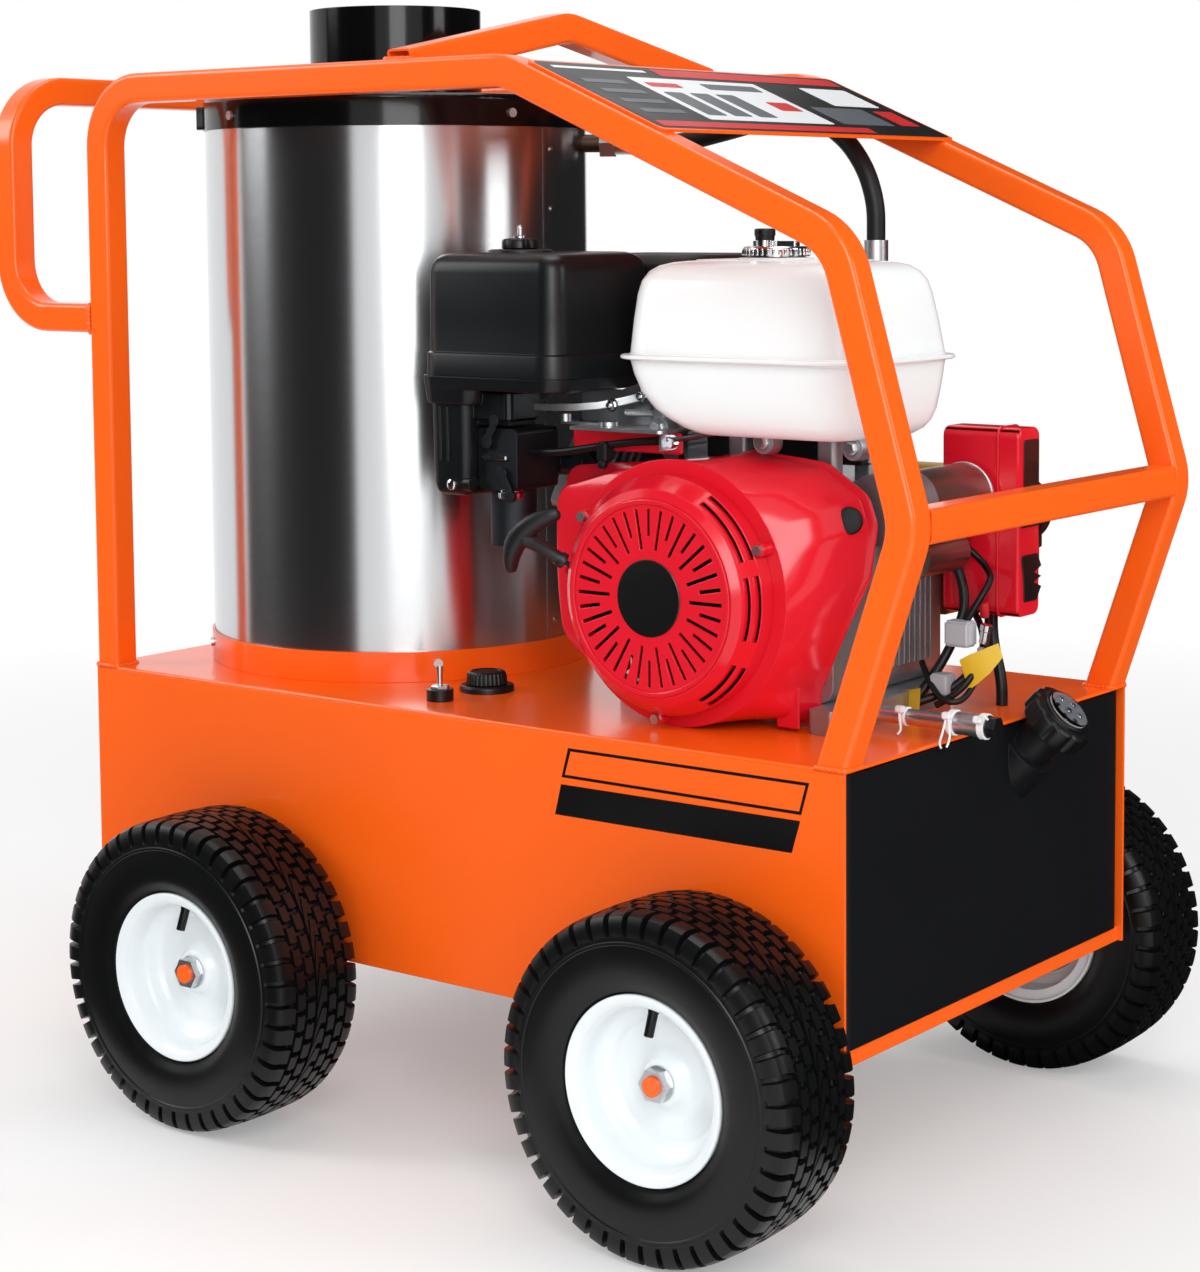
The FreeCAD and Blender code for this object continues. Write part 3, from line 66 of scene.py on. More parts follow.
def add(owner, kind, inputs=None, **settings):
    """Adds a node. Each input is a value, or the output socket to link."""
    node = owner.node_tree.nodes.new("ShaderNode" + kind)
    for name, value in settings.items():
        setattr(node, name, value)
    for name, value in (inputs or {}).items():
        if isinstance(value, bpy.types.NodeSocket):
            owner.node_tree.links.new(value, node.inputs[name])
        else:
            node.inputs[name].default_value = value
    return node


def link(owner, socket, target):
    owner.node_tree.links.new(socket, target)


def finish(name, colour, **surface):
    """Material with one Principled surface; returns both, and the point that is shaded."""
    material = bpy.data.materials.new(name)
    material.use_nodes = True
    shader = material.node_tree.nodes["Principled BSDF"]
    shader.inputs["Base Color"].default_value = linear(colour)
    for socket, value in surface.items():
        shader.inputs[socket.replace("_", " ")].default_value = value
    return material, shader, add(material, "TexCoord").outputs["Object"]


def noise(material, place, scale, detail):
    return add(material, "TexNoise", {"Vector": place, "Scale": scale, "Detail": detail}).outputs["Fac"]


def tint(material, shader, share, colour, shade):
    """Lets the colour wander between two shades."""
    mixed = add(material, "Mix", {"Factor": share, "A": linear(colour), "B": linear(shade)},
                data_type="RGBA")
    link(material, mixed.outputs["Result"], shader.inputs["Base Color"])


def dull(material, shader, share, low, high):
    """Lets the roughness wander between two values."""
    spread = add(material, "MapRange", {"Value": share, "To Min": low, "To Max": high})
    link(material, spread.outputs["Result"], shader.inputs["Roughness"])


def emboss(material, shader, height, strength, depth, rounding=0):
    """Fine relief; rounding is the radius that softens sharp edges, in metres."""
    inputs = {"Height": height, "Strength": strength, "Distance": depth}
    if rounding:
        inputs["Normal"] = add(material, "Bevel", {"Radius": rounding}, samples=4).outputs["Normal"]
    normal = add(material, "Bump", inputs).outputs["Normal"]
    link(material, normal, shader.inputs["Normal"])
    return normal


def enamel(name, colour, shade, roughness, gloss=0.4):
    """Gloss enamel sprayed on steel: 4 mm orange peel, faint shading, rounded edges."""
    material, shader, place = finish(name, colour, IOR=1.5, Specular_IOR_Level=gloss, Coat_Weight=gloss / 3,
                                     Coat_Roughness=0.03)
    mottle = noise(material, place, 5, 3)
    tint(material, shader, mottle, colour, shade)
    dull(material, shader, mottle, roughness, roughness + 0.1)
    normal = emboss(material, shader, noise(material, place, 1 / 0.004, 2), 0.1, 0.0002, 0.0015)
    link(material, normal, shader.inputs["Coat Normal"])
    return material


def paint(material, *nodes):
    """Gives nodes of the frame one material."""
    for node in nodes:
        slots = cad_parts[node].data.materials
        slots.clear()
        slots.append(material)


orange_enamel = enamel("orange_enamel", "#FF6616", "#F65E12", 0.16)
paint(orange_enamel, "deck_plate", "chassis_panels", "axles")


# Side stripes
# Two slanted bars of black vinyl film, cut and rubbed down on the near skirt.
# The upper bar is only an outline.


def skin(form, rings, loop=False):
    """Faces through rings of points. The end rings are closed, or joined by loop."""
    rows = [[form.verts.new(point) for point in ring] for ring in rings]
    following = rows[1:] + rows[:1] if loop else rows[1:]
    for row, other in zip(rows, following):
        for i, corner in enumerate(row):
            j = (i + 1) % len(row)
            form.faces.new((corner, row[j], other[j], other[i]))
    if not loop:
        form.faces.new(rows[0])
        form.faces.new(rows[-1])
    return form


def piece(name, form, material, body="chassis", sharp=35):
    """Piece of the scene: it rides on a body and wears the given material."""
    bmesh.ops.recalc_face_normals(form, faces=form.faces)
    mesh = bpy.data.meshes.new(name)
    form.to_mesh(mesh)
    form.free()
    mesh.materials.append(material)
    mesh.shade_smooth()
    mesh.set_sharp_from_angle(angle=math.radians(sharp))
    item = bpy.data.objects.new(name, mesh)
    bpy.context.scene.collection.objects.link(item)
    if body:
        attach(item, body)
    return item


def vinyl_film(name, colour):
    """Satin vinyl film, with the faint 3 mm ripples left by the squeegee."""
    material, shader, place = finish(name, colour, IOR=1.52)
    dull(material, shader, noise(material, place, 14, 3), 0.26, 0.42)
    emboss(material, shader, noise(material, place, 1 / 0.003, 1), 0.05, 0.0001)
    return material


black_film = vinyl_film("black_vinyl_film", "#0B0B0D")
skirt_face = -273
film_back = 0.02
film_front = 0.3
outline_outer = ((683.5, 436.2), (966, 437.1), (957.1, 406.4), (675.1, 406.5))
outline_inner = ((686.4, 433.3), (962.1, 434.2), (954.9, 409.3), (678.9, 409.4))
solid_bar = ((674.3, 399.4), (956, 400.6), (946.6, 369.6), (666.3, 368.6))


def on_skirt(corners, proud):
    return [at(x, skirt_face - proud, z) for x, z in corners]


stripes = bmesh.new()
skin(stripes, [on_skirt(outline_outer, film_back), on_skirt(outline_outer, film_front),
               on_skirt(outline_inner, film_front), on_skirt(outline_inner, film_back)], loop=True)
skin(stripes, [on_skirt(solid_bar, film_back), on_skirt(solid_bar, film_front)])
piece("side_stripes", stripes, black_film)


# Tubular frame
# Square steel tube, bent on a former, welded to the deck and sprayed with the
# same orange enamel. A rippled weld bead runs round each tube's end.

paint(orange_enamel, "near_side_rail", "far_side_rail", "front_crossbar", "push_handle", "lifting_bar",
      "sign_panel")


def softened(corners, radius, steps=6):
    """Closed outline with its corners rounded, as far as their sides allow."""
    points = []
    for i, corner in enumerate(corners):
        back = corners[i - 1] - corner
        ahead = corners[(i + 1) % len(corners)] - corner
        reach = 0.45 * min(back.length, ahead.length)
        back.normalize()
        ahead.normalize()
        half = back.angle(ahead) / 2
        bend = min(radius, reach * math.tan(half))
        centre = corner + (back + ahead).normalized() * (bend / math.sin(half))
        start = corner + back * (bend / math.tan(half)) - centre
        end = corner + ahead * (bend / math.tan(half)) - centre
        turn = math.pi - 2 * half
        for k in range(steps + 1):
            share = k / steps
            swing = start * math.sin((1 - share) * turn) + end * math.sin(share * turn)
            points.append(centre + swing / math.sin(turn))
    return points


def evenly(points, count):
    """Points at equal spacing round a closed line."""
    spans = [(b - a).length for a, b in zip(points, points[1:] + points[:1])]
    total = sum(spans)
    spaced = []
    index = 0
    passed = 0
    for i in range(count):
        want = total * i / count
        while passed + spans[index] < want:
            passed += spans[index]
            index += 1
        spaced.append(points[index].lerp(points[(index + 1) % len(points)], (want - passed) / spans[index]))
    return spaced


weld_radius = 0.0026
weld_ripple = 3
weld_steps = 72


def weld_bead(form, centre, side_a, side_b):
    """Closed bead round the end of a square tube; each ripple is one dip of the rod."""
    corners = [side_a + side_b, side_b - side_a, -side_a - side_b, side_a - side_b]
    track = evenly(softened([centre + corner for corner in corners], 0.005), weld_steps)
    way = side_a.cross(side_b).normalized()
    rings = []
    for i, point in enumerate(track):
        along = (track[(i + 1) % weld_steps] - track[i - 1]).normalized()
        out = along.cross(way)
        size = weld_radius * (1 + 0.22 * math.cos(2 * math.pi * i / weld_ripple))
        turns = [math.pi * k / 4 for k in range(8)]
        rings.append([point + (out * math.cos(a) + way * math.sin(a)) * size for a in turns])
    skin(form, rings, loop=True)


tube_half = 0.0162
post_lean = math.radians(19)
beads = bmesh.new()
for hand in (-1, 1):
    across = Vector((0, tube_half, 0))
    along = Vector((tube_half, 0, 0))
    weld_bead(beads, at(16, hand * 257, 452.4), along, across)
    weld_bead(beads, at(988, hand * 257, 452.4), along / math.cos(post_lean), across)
    weld_bead(beads, at(-0.4, hand * 257, 842), across, Vector((0, 0, tube_half)))
    weld_bead(beads, at(461, hand * 249, 1111.4), along, across * 0.98)
piece("frame_welds", beads, orange_enamel, sharp=60)


# Sign panel
# A flat steel plate carries a printed film. The film here is bare of words: it
# holds plain bars and blocks in black, red, white and grey.

slope_start = at(606, 0, 1095)
slope_way = (at(990, 0, 930) - slope_start).normalized()
slope_up = Vector((0, 1, 0)).cross(slope_way) * -1
plate_top = slope_start + slope_way * 0.02 + slope_up * (0.016 + 0.003)


def on_sign(along, across, proud):
    """Point on the plate: millimetres down the slope, across it and above it."""
    return plate_top + slope_way * (along / 1000) + Vector((0, across / 1000, 0)) + slope_up * (proud / 1000)


film_layers = ((0.02, 0.25), (0.22, 0.45), (0.42, 0.65))
sign_films = (
    ("sign_ground", black_film, [(4, 176, -261, 261, 0, 7)]),
    ("sign_white_blocks", vinyl_film("white_vinyl_film", "#E6E8EA"),
     [(36, 150, -150, 70, 1, 3), (14, 20, -244, -96, 1, 1), (40, 92, 150, 240, 1, 3)]),
    ("sign_red_blocks", vinyl_film("red_vinyl_film", "#C9201F"),
     [(8, 28, -80, 252, 1, 2), (158, 172, -252, 120, 1, 2), (50, 62, -138, -84, 2, 3),
      (92, 116, 18, 58, 2, 3), (104, 146, 206, 244, 1, 3)]),
    ("sign_grey_blocks", vinyl_film("grey_vinyl_film", "#5A5E63"),
     [(48 + 26 * i, 58 + 26 * i, -238, -170, 1, 1.5) for i in range(4)]
     + [(76, 138, -138 + 44 * i, -106 + 44 * i, 2, 3) for i in range(3)]
     + [(46, 62, -40, 56, 2, 3), (100, 148, 90, 190, 1, 3)]),
)
for name, film, blocks in sign_films:
    form = bmesh.new()
    for top, bottom, left, right, layer, corner in blocks:
        outline = ((top, left), (bottom, left), (bottom, right), (top, right))
        skin(form, [softened([on_sign(a, b, proud) for a, b in outline], corner / 1000)
                    for proud in film_layers[layer]])
    piece(name, form, film, sharp=20)


# Wheels
# Pressed steel rims in white enamel carry moulded rubber tyres. Each tyre has
# raised lugs at its shoulders and rows of small zigzag blocks between them.


def moulded_rubber():
    """Carbon-black rubber: 0.8 mm mould grain, and a patchy sheen from handling."""
    material, shader, place = finish("moulded_tyre_rubber", "#0B0C0D", IOR=1.5, Specular_IOR_Level=0.3)
    dull(material, shader, noise(material, place, 18, 5), 0.24, 0.42)
    emboss(material, shader, noise(material, place, 1 / 0.0008, 2), 0.2, 0.0003)
    return material


white_enamel = enamel("white_enamel", "#EDF3F5", "#E3EAED", 0.2)
tyre_rubber = moulded_rubber()
track_half = 349.25
wheel_height = 165
pitches = 45
pitch_columns = ((0.04, True), (0.4, True), (0.74, True), (0.8, False), (0.98, False))


def tyre_rows():
    """Rows over the tread: width, top radius, width and radius in a gap, lean in pitches."""
    side = [
        (46, 77.4), (47.2, 88.2), (49.6, 90.2), (52.5, 91), (53.4, 93.5), (56.4, 98), (58.6, 105),
        (59.8, 113), (60.2, 121), (59.9, 128), (59.2, 134), (59.9, 135), (59.9, 137), (58.8, 138),
    ]
    half = [(y, r, y, r, 0) for y, r in side]
    half += [
        (58.4, 141, 58.2, 141, 0), (58.8, 143, 55.6, 142.5, 0), (58.6, 149, 53.2, 148, 0),
        (57, 156, 50, 153, 0), (54.6, 160, 46, 156, 0), (50.5, 162.2, 42, 157.2, 0),
        (45, 163.2, 40, 157.6, 0), (37.5, 163.9, 37.5, 157.8, 0.1),
        (36.6, 158.4, 36.6, 158, 0.1), (34.4, 158.4, 34.4, 158, 0.5),
        (33.6, 163.9, 33.6, 158.2, 0.5), (28.8, 164.2, 28.8, 158.4, 0.56), (24, 164.4, 24, 158.6, 0.5),
        (23.2, 159, 23.2, 158.6, 0.5), (21, 159, 21, 158.6, 0),
        (20.2, 164.5, 20.2, 158.8, 0), (15.2, 164.7, 15.2, 158.8, 0.06), (10.2, 164.8, 10.2, 159, 0),
        (9.4, 159.2, 9.4, 159, 0), (7.2, 159.2, 7.2, 159, 0.5), (6.6, 164.9, 6.6, 159, 0.5),
        (0, 165, 0, 159, 0.56),
    ]
    return half + [(-a, b, -c, d, -e) for a, b, c, d, e in half[-2::-1]]


def tyre_form(hub):
    rings = []
    for width, top, gap_width, gap, lean in tyre_rows():
        ring = []
        for i in range(pitches):
            for column, block in pitch_columns:
                turn = 2 * math.pi * (i + column + lean) / pitches
                radius = top if block else gap
                y = width if block else gap_width
                ring.append(hub + Vector((radius * math.cos(turn), y, radius * math.sin(turn))) / 1000)
        rings.append(ring)
    return skin(bmesh.new(), rings, loop=True)


def circle(centre, axis, along, radius, steps, side=None):
    """Points round an axis, in millimetres. The radius is a number, or follows the angle."""
    if side is None:
        side = axis.orthogonal().normalized()
    other = axis.cross(side)
    points = []
    for k in range(steps):
        turn = 2 * math.pi * k / steps
        reach = radius(turn) if callable(radius) else radius
        out = side * math.cos(turn) + other * math.sin(turn)
        points.append(centre + (axis * along + out * reach) / 1000)
    return points


def lathe(form, profile, centre, axis, steps=32, side=None, loop=False):
    """Turned form. The profile's points are (millimetres along the axis, radius); loop bores it."""
    return skin(form, [circle(centre, axis, along, radius, steps, side) for along, radius in profile], loop)


rim_profile = (
    (47.2, 77), (47.2, 88), (50, 88.4), (52.4, 88.2), (53.2, 87.2), (53, 86), (51.4, 82), (48.6, 77.6),
    (45, 75.2), (38, 74.2), (30, 73.6), (25.8, 72.6), (23, 69), (19.8, 62.6), (17.6, 60), (14.6, 58.4),
    (13.6, 56), (13.2, 46.5), (12.2, 44.6), (12.2, 31), (13.4, 28), (18, 23.6), (23.4, 20.6), (24, 19.6),
    (24, 9.6), (-46, 9.6), (-46, 20), (9.4, 20), (9.4, 50), (15.4, 61), (-19.6, 61), (-25.6, 73), (-50, 74),
    (-50, 85), (-53, 85), (-53, 88), (-47, 88), (-47, 77), (-28, 76), (-22, 64), (17, 64), (24, 76),
)
valve_profile = ((-2, 7), (2.4, 5.8), (7, 4.8), (27, 4.6), (28, 4), (28.4, 2))
for end, axle_x in (("front", 869), ("rear", 255)):
    for hand, side in (("near", -1), ("far", 1)):
        name = end + "_" + hand
        hub = at(axle_x, side * track_half, wheel_height)
        rim = lathe(bmesh.new(), rim_profile, hub, Vector((0, side, 0)), 120, loop=True)
        rim_piece = piece("pressed_rim_" + name, rim, white_enamel, "wheel_" + name, 50)
        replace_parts(rim_piece, "rim_" + name)
        tyre = tyre_form(hub)
        tyre_piece = piece("treaded_tyre_" + name, tyre, tyre_rubber, "wheel_" + name, 28)
        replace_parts(tyre_piece, "tyre_" + name)
        valve_way = Vector((0.02, side * 0.4, -1)).normalized()
        stem = lathe(bmesh.new(), valve_profile, hub + Vector((0, side * 0.031, 0.0735)), valve_way, 24)
        piece("valve_stem_" + name, stem, tyre_rubber, "wheel_" + name)


# Boiler
# The jacket is stainless sheet rolled into a drum and closed by an upright lap
# seam. It is brushed round its girth, so that lamps show as upright streaks.

boiler_x = 218
jacket_radius = 216


def brushed_stainless():
    """Stainless sheet with 0.6 mm brush lines that run round the drum."""
    material, shader, place = finish("brushed_stainless", "#CFD1D3", Metallic=1, Anisotropic=0.75)
    part = add(material, "SeparateXYZ", {"Vector": place})
    across = add(material, "Math", {0: part.outputs["X"], 1: at(boiler_x, 0, 0).x}, operation="SUBTRACT")
    angle = add(material, "Math", {0: part.outputs["Y"], 1: across.outputs[0]}, operation="ARCTAN2")
    line = add(material, "CombineXYZ", {"X": angle.outputs[0], "Z": part.outputs["Z"]})
    stretched = add(material, "Mapping", {"Vector": line.outputs[0], "Scale": (6, 1, 1 / 0.0006)})
    brush = noise(material, stretched.outputs[0], 1, 4)
    dull(material, shader, brush, 0.17, 0.27)
    emboss(material, shader, brush, 0.03, 0.0001)
    upright = add(material, "CombineXYZ", {"Z": 1.0})
    link(material, upright.outputs[0], shader.inputs["Tangent"])
    return material


stainless = brushed_stainless()
black_enamel = enamel("black_enamel", "#060607", "#0A0B0C", 0.07, 0.25)
paint(stainless, "boiler_jacket")
paint(orange_enamel, "boiler_base_ring")
paint(black_enamel, "boiler_lid", "exhaust_stack")

seam_angle = 3
seam_half = 3.4
seam_bottom = 485.3
seam_top = 1049.7
seam_profile = (
    (-1, 0.02), (-0.97, 0.9), (-0.8, 1.1), (0, 1.15), (0.8, 1.1), (0.97, 0.9), (1, 0.02), (0.5, 0.02),
    (-0.5, 0.02),
)
rivet_pitch = 65


def drum_point(angle, radius, z):
    turn = math.radians(angle)
    return at(boiler_x + radius * math.cos(turn), radius * math.sin(turn), z)


seam = bmesh.new()
skin(seam, [[drum_point(seam_angle + a * seam_half, jacket_radius + proud, z) for a, proud in seam_profile]
            for z in (seam_bottom, seam_top)])
rivet_way = (drum_point(seam_angle, 1, 0) - drum_point(seam_angle, 0, 0)).normalized()
for i in range(9):
    rivet_foot = drum_point(seam_angle, jacket_radius + 1.1, seam_bottom + 20 + rivet_pitch * i)
    lathe(seam, ((-0.5, 3.4), (0.5, 3.3), (1.3, 2.4), (1.6, 1)), rivet_foot, rivet_way, 16)
piece("jacket_seam", seam, stainless)


def ceramic_fibre():
    """White ceramic-fibre blanket: soft, matt and lumpy at about 6 mm."""
    material, shader, place = finish("ceramic_fibre", "#CFCBBF", Roughness=0.95)
    emboss(material, shader, noise(material, place, 1 / 0.006, 5), 0.6, 0.002)
    return material


def heat_tinted_pipe():
    """Seamless steel pipe with mill scale, browned and blued by the flame."""
    material, shader, place = finish("heat_tinted_pipe", "#4B423D", Metallic=1, Roughness=0.5)
    ramp = add(material, "ValToRGB", {"Fac": noise(material, place, 14, 4)})
    for stop, colour in zip(ramp.color_ramp.elements, ("#3A3230", "#6A5A4C")):
        stop.color = linear(colour)
    link(material, ramp.outputs["Color"], shader.inputs["Base Color"])
    return material


heated_pipe = heat_tinted_pipe()
paint(ceramic_fibre(), "boiler_blanket")
paint(heated_pipe, "heating_coil")


# Heating coil
# Steam pipe wound in one close helix inside the blanket. Its lower end leaves
# as the hot-water outlet and its upper end is the inlet from the pump.

coil_turns = 25
coil_points_per_turn = 16
coil_mean_radius = 160
coil_half = 10.3
coil_low = 502
coil_high = 1034
stub_reach = 234.9
port_turn = math.radians(30)


def round_run(name, points, radius, material, body="chassis", resolution=6):
    """Round pipe or cable: a smooth curve through points in millimetres."""
    curve = bpy.data.curves.new(name, "CURVE")
    curve.dimensions = "3D"
    spline = curve.splines.new("NURBS")
    spline.points.add(len(points) - 1)
    for knot, point in zip(spline.points, points):
        knot.co = (*at(*point), 1)
    spline.order_u = 3
    spline.use_endpoint_u = True
    spline.resolution_u = resolution
    curve.bevel_depth = radius / 1000
    curve.bevel_resolution = 4
    curve.use_fill_caps = True
    curve.materials.append(material)
    item = bpy.data.objects.new(name, curve)
    bpy.context.scene.collection.objects.link(item)
    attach(item, body)
    return item


def coil_point(radius, turn, z):
    return boiler_x + radius * math.cos(turn), radius * math.sin(turn), z


coil_points = [(boiler_x, stub_reach, coil_low), (boiler_x, 205, coil_low), (boiler_x - 40, 172, coil_low)]
for i in range(coil_turns * coil_points_per_turn + 1):
    turn = 2 * math.pi * i / coil_points_per_turn + math.radians(90)
    rise = coil_low + (coil_high - coil_low) * i / (coil_turns * coil_points_per_turn)
    if rise < coil_high - 14:
        coil_points.append(coil_point(coil_mean_radius, turn, rise))
for reach, back in ((175, -14), (205, -2), (stub_reach, 0)):
    coil_points.append(coil_point(reach, port_turn + math.radians(back), coil_high))
coil = round_run("wound_coil", coil_points, coil_half, heated_pipe, resolution=3)
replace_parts(coil, "heating_coil")


# Burner
# A cast blower housing with its motor, fuel pump and spark box, bolted under the
# deck. The fan wheel turns inside the housing.


def cast_metal(name, colour, shade, grit, metallic=1):
    """Sand-cast metal: its skin is grained at the size of the mould's grit."""
    material, shader, place = finish(name, colour, Metallic=metallic)
    mottle = noise(material, place, 22, 5)
    tint(material, shader, mottle, colour, shade)
    dull(material, shader, mottle, 0.4, 0.6)
    emboss(material, shader, noise(material, place, 1 / grit, 3), 0.35, 0.0004, 0.0012)
    return material


cast_aluminium = cast_metal("cast_aluminium", "#C4C9CE", "#A2A8AE", 0.0012)
stove_black = cast_metal("stove_black", "#121213", "#1A1A1B", 0.001, 0)
paint(cast_aluminium, "burner_housing", "burner_fan")
paint(stove_black, "burner_motor")


# Diesel tank and battery
# The tank is rotationally moulded black polyethylene. The battery stands behind
# it under the deck, in a polypropylene case with lead posts.


def moulded_plastic(name, colour, roughness, grain, gloss=0.4):
    """Plastic from a mould: its skin copies the fine texture cut in the tool."""
    material, shader, place = finish(name, colour, IOR=1.5, Specular_IOR_Level=gloss)
    dull(material, shader, noise(material, place, 8, 4), roughness, roughness + 0.14)
    emboss(material, shader, noise(material, place, 1 / grain, 2), 0.1, 0.0002, 0.0012)
    return material


def paint_part(node, material, chosen):
    """Gives a second material to the faces whose middle chosen() picks, in the deck's millimetres."""
    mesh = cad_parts[node].data
    mesh.materials.append(material)
    for face in mesh.polygons:
        x, y, z = face.center * 1000
        if chosen(x + middle, y, z):
            face.material_index = len(mesh.materials) - 1


post_foot = 370.5
black_nylon = moulded_plastic("black_nylon", "#0C0D0F", 0.3, 0.0008)
paint(moulded_plastic("black_polyethylene", "#101114", 0.36, 0.0012, 0.35), "diesel_tank")
paint(moulded_plastic("battery_polypropylene", "#141519", 0.3, 0.001), "battery")
paint_part("battery", cast_metal("cast_lead", "#8C8F94", "#74777C", 0.001), lambda x, y, z: z > post_foot)


# Diesel cap
# A ribbed screw cap in black nylon. A clear round gauge is snapped into its top,
# over a pale dial ringed with plated studs.


def lobed(form, profile, centre, axis, lobes, steps=96):
    """Turned form with finger notches. Profile: (along, radius, depth of notch)."""
    rings = []
    for along, radius, notch in profile:
        rings.append(circle(centre, axis, along,
                            lambda turn: radius - notch * max(0, math.cos(lobes * turn)) ** 2, steps))
    return skin(form, rings)


def clear_polycarbonate():
    """Clear moulding, slightly grey, with faint moulding waves."""
    material, shader, place = finish("clear_polycarbonate", "#E8ECEF", IOR=1.58, Transmission_Weight=1,
                                     Roughness=0.02)
    emboss(material, shader, noise(material, place, 1 / 0.008, 1), 0.06, 0.0003)
    return material


def plated_steel(name, colour, roughness):
    """Bright plating on turned steel, with 6 mm clouding from the bath."""
    material, shader, place = finish(name, colour, Metallic=1)
    marks = noise(material, place, 1 / 0.006, 2)
    dull(material, shader, marks, roughness, roughness + 0.1)
    emboss(material, shader, marks, 0.03, 0.0001)
    return material


zinc_plate = plated_steel("zinc_plate", "#D2D5D8", 0.3)
chrome_plate = plated_steel("chrome_plate", "#D9DCDE", 0.08)
neck_way = Vector((1, 0, 1)).normalized()
cap_seat = at(1001, 60, 412) + neck_way * 0.0443
cap_profile = (
    (0, 33, 0), (1.2, 35.6, 1.5), (3, 36, 3), (17, 36, 3), (20, 34.8, 2), (22, 31.5, 0.5), (22.6, 27, 0),
    (25.6, 26.4, 0), (26.6, 25, 0), (26.6, 22.6, 0), (24.6, 22.4, 0), (24.5, 4, 0),
)
cap = lobed(bmesh.new(), cap_profile, cap_seat, neck_way, 10, 120)
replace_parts(piece("ribbed_diesel_cap", cap, black_nylon, "diesel_cap"), "diesel_cap")
dial = lathe(bmesh.new(), ((24.5, 22.2), (25, 22.2), (25.1, 21.8)), cap_seat, neck_way, 48)
dial_acetal = moulded_plastic("dial_acetal", "#B9BDC2", 0.4, 0.001)
piece("gauge_dial", dial, dial_acetal, "diesel_cap")
stud_ring = 0.0135
studs = bmesh.new()
dial_side = neck_way.orthogonal().normalized()
dial_other = neck_way.cross(dial_side)
for i in range(6):
    turn = math.radians(60 * i + 10)
    foot = cap_seat + (dial_side * math.cos(turn) + dial_other * math.sin(turn)) * stud_ring
    lathe(studs, ((25, 3), (26.2, 3), (27, 2.1), (27.2, 0.8)), foot, neck_way, 18)
lathe(studs, ((25, 3.6), (26.6, 3.6), (27.3, 2.4), (27.5, 1)), cap_seat, neck_way, 20)
piece("gauge_studs", studs, chrome_plate, "diesel_cap")
lens_profile = ((27.8, 22.3), (28.6, 22.2), (29.2, 21), (29.4, 14), (29.45, 4))
lens = lathe(bmesh.new(), lens_profile, cap_seat, neck_way, 48)
piece("gauge_lens", lens, clear_polycarbonate(), "diesel_cap")


# Deck controls
# A nickel-plated toggle stands in a black base under a plated hex nut, beside
# the two-step black dial of the thermostat.

up = Vector((0, 0, 1))
right_way = Vector((1, 0, 0))
paint(black_nylon, "control_bases")
paint(chrome_plate, "burner_toggle")
dial_profile = (
    (0.3, 21, 0.8), (1, 21.8, 1), (9, 21.2, 1.2), (12.6, 20, 1), (14, 17.6, 0.4), (14, 15, 0),
    (13.3, 14.4, 0), (13.3, 3, 0),
)
knob = lobed(bmesh.new(), dial_profile, at(469, -145, 459), up, 24, 144)
knob_piece = piece("fluted_thermostat_dial", knob, black_nylon, "thermostat_dial")
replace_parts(knob_piece, "thermostat_dial")
nut_profile = ((0, 9.4), (0.6, 9.9), (3, 9.9), (3.8, 9.2))
nut = lathe(bmesh.new(), nut_profile, at(467, -217, 464), up, 6, right_way)
piece("toggle_nut", nut, zinc_plate)


# Engine block
# The crankcase, cylinder and gearbox feet are die-cast aluminium. The crankshaft
# and flywheel turn inside them; both are kept dark by oil and shade.

crank_x = 752
crank_z = 584
paint(cast_aluminium, "engine_crankcase", "cylinder_head")
paint(plated_steel("ground_steel", "#6E7276", 0.3), "crankshaft")
paint(cast_metal("flywheel_iron", "#2A2C2F", "#1B1C1E", 0.0015), "flywheel_fan")


# Fan shroud
# One steel pressing in crimson enamel. A narrow flange runs round it, its left
# end is a square box and the rest draws in to the round mouth.

crimson_enamel = enamel("crimson_enamel", "#DD182B", "#D01527", 0.12)
shroud_outline = (
    (-196, 110), (0, 128), (44, 138), (130, 130), (178, 100), (188, 72), (180, 20),
    (146, -46), (122, -98), (124, -129), (-62, -129), (-130, -100), (-182, -60),
)
shroud_back = -115
shroud_depth = 75
mouth_radius = 132
shroud_hole = 111
shroud_skin = 2.6
drawn_stations = (
    (0, 0), (2.4, 0), (3.4, 0.03), (5, 0.12), (20, 0.24), (40, 0.44), (55, 0.64), (66, 0.83), (72, 0.94),
    (shroud_depth, 1),
)
boxed_stations = (
    (0, 0), (2.4, 0), (3.4, 0.1), (5, 0.3), (30, 0.34), (50, 0.36), (53.5, 0.4), (55, 0.5), (57, 0.92),
    (shroud_depth, 1),
)
box_start = 128
box_end = 203
box_fade = 22


def boxed_share(angle):
    """How far the left box's form holds at an angle round the crankshaft, 0 to 1."""
    outside = max(box_start - angle, angle - box_end, 0)
    share = max(0, 1 - outside / box_fade)
    return share * share * (3 - 2 * share)


def shroud_ring(flange, station, inward):
    """Points round the shroud at one station; inward is the skin's inner side."""
    ring = []
    for x, z in flange:
        share = boxed_share(math.degrees(math.atan2(z, x)) % 360)
        depth = drawn_stations[station][0] * (1 - share) + boxed_stations[station][0] * share
        drawn = drawn_stations[station][1] * (1 - share) + boxed_stations[station][1] * share
        full = math.hypot(x, z)
        radius = full + (mouth_radius - full) * drawn - inward
        depth -= inward * 0.9 * depth / shroud_depth
        ring.append(at(crank_x + x / full * radius, shroud_back - depth, crank_z + z / full * radius))
    return ring


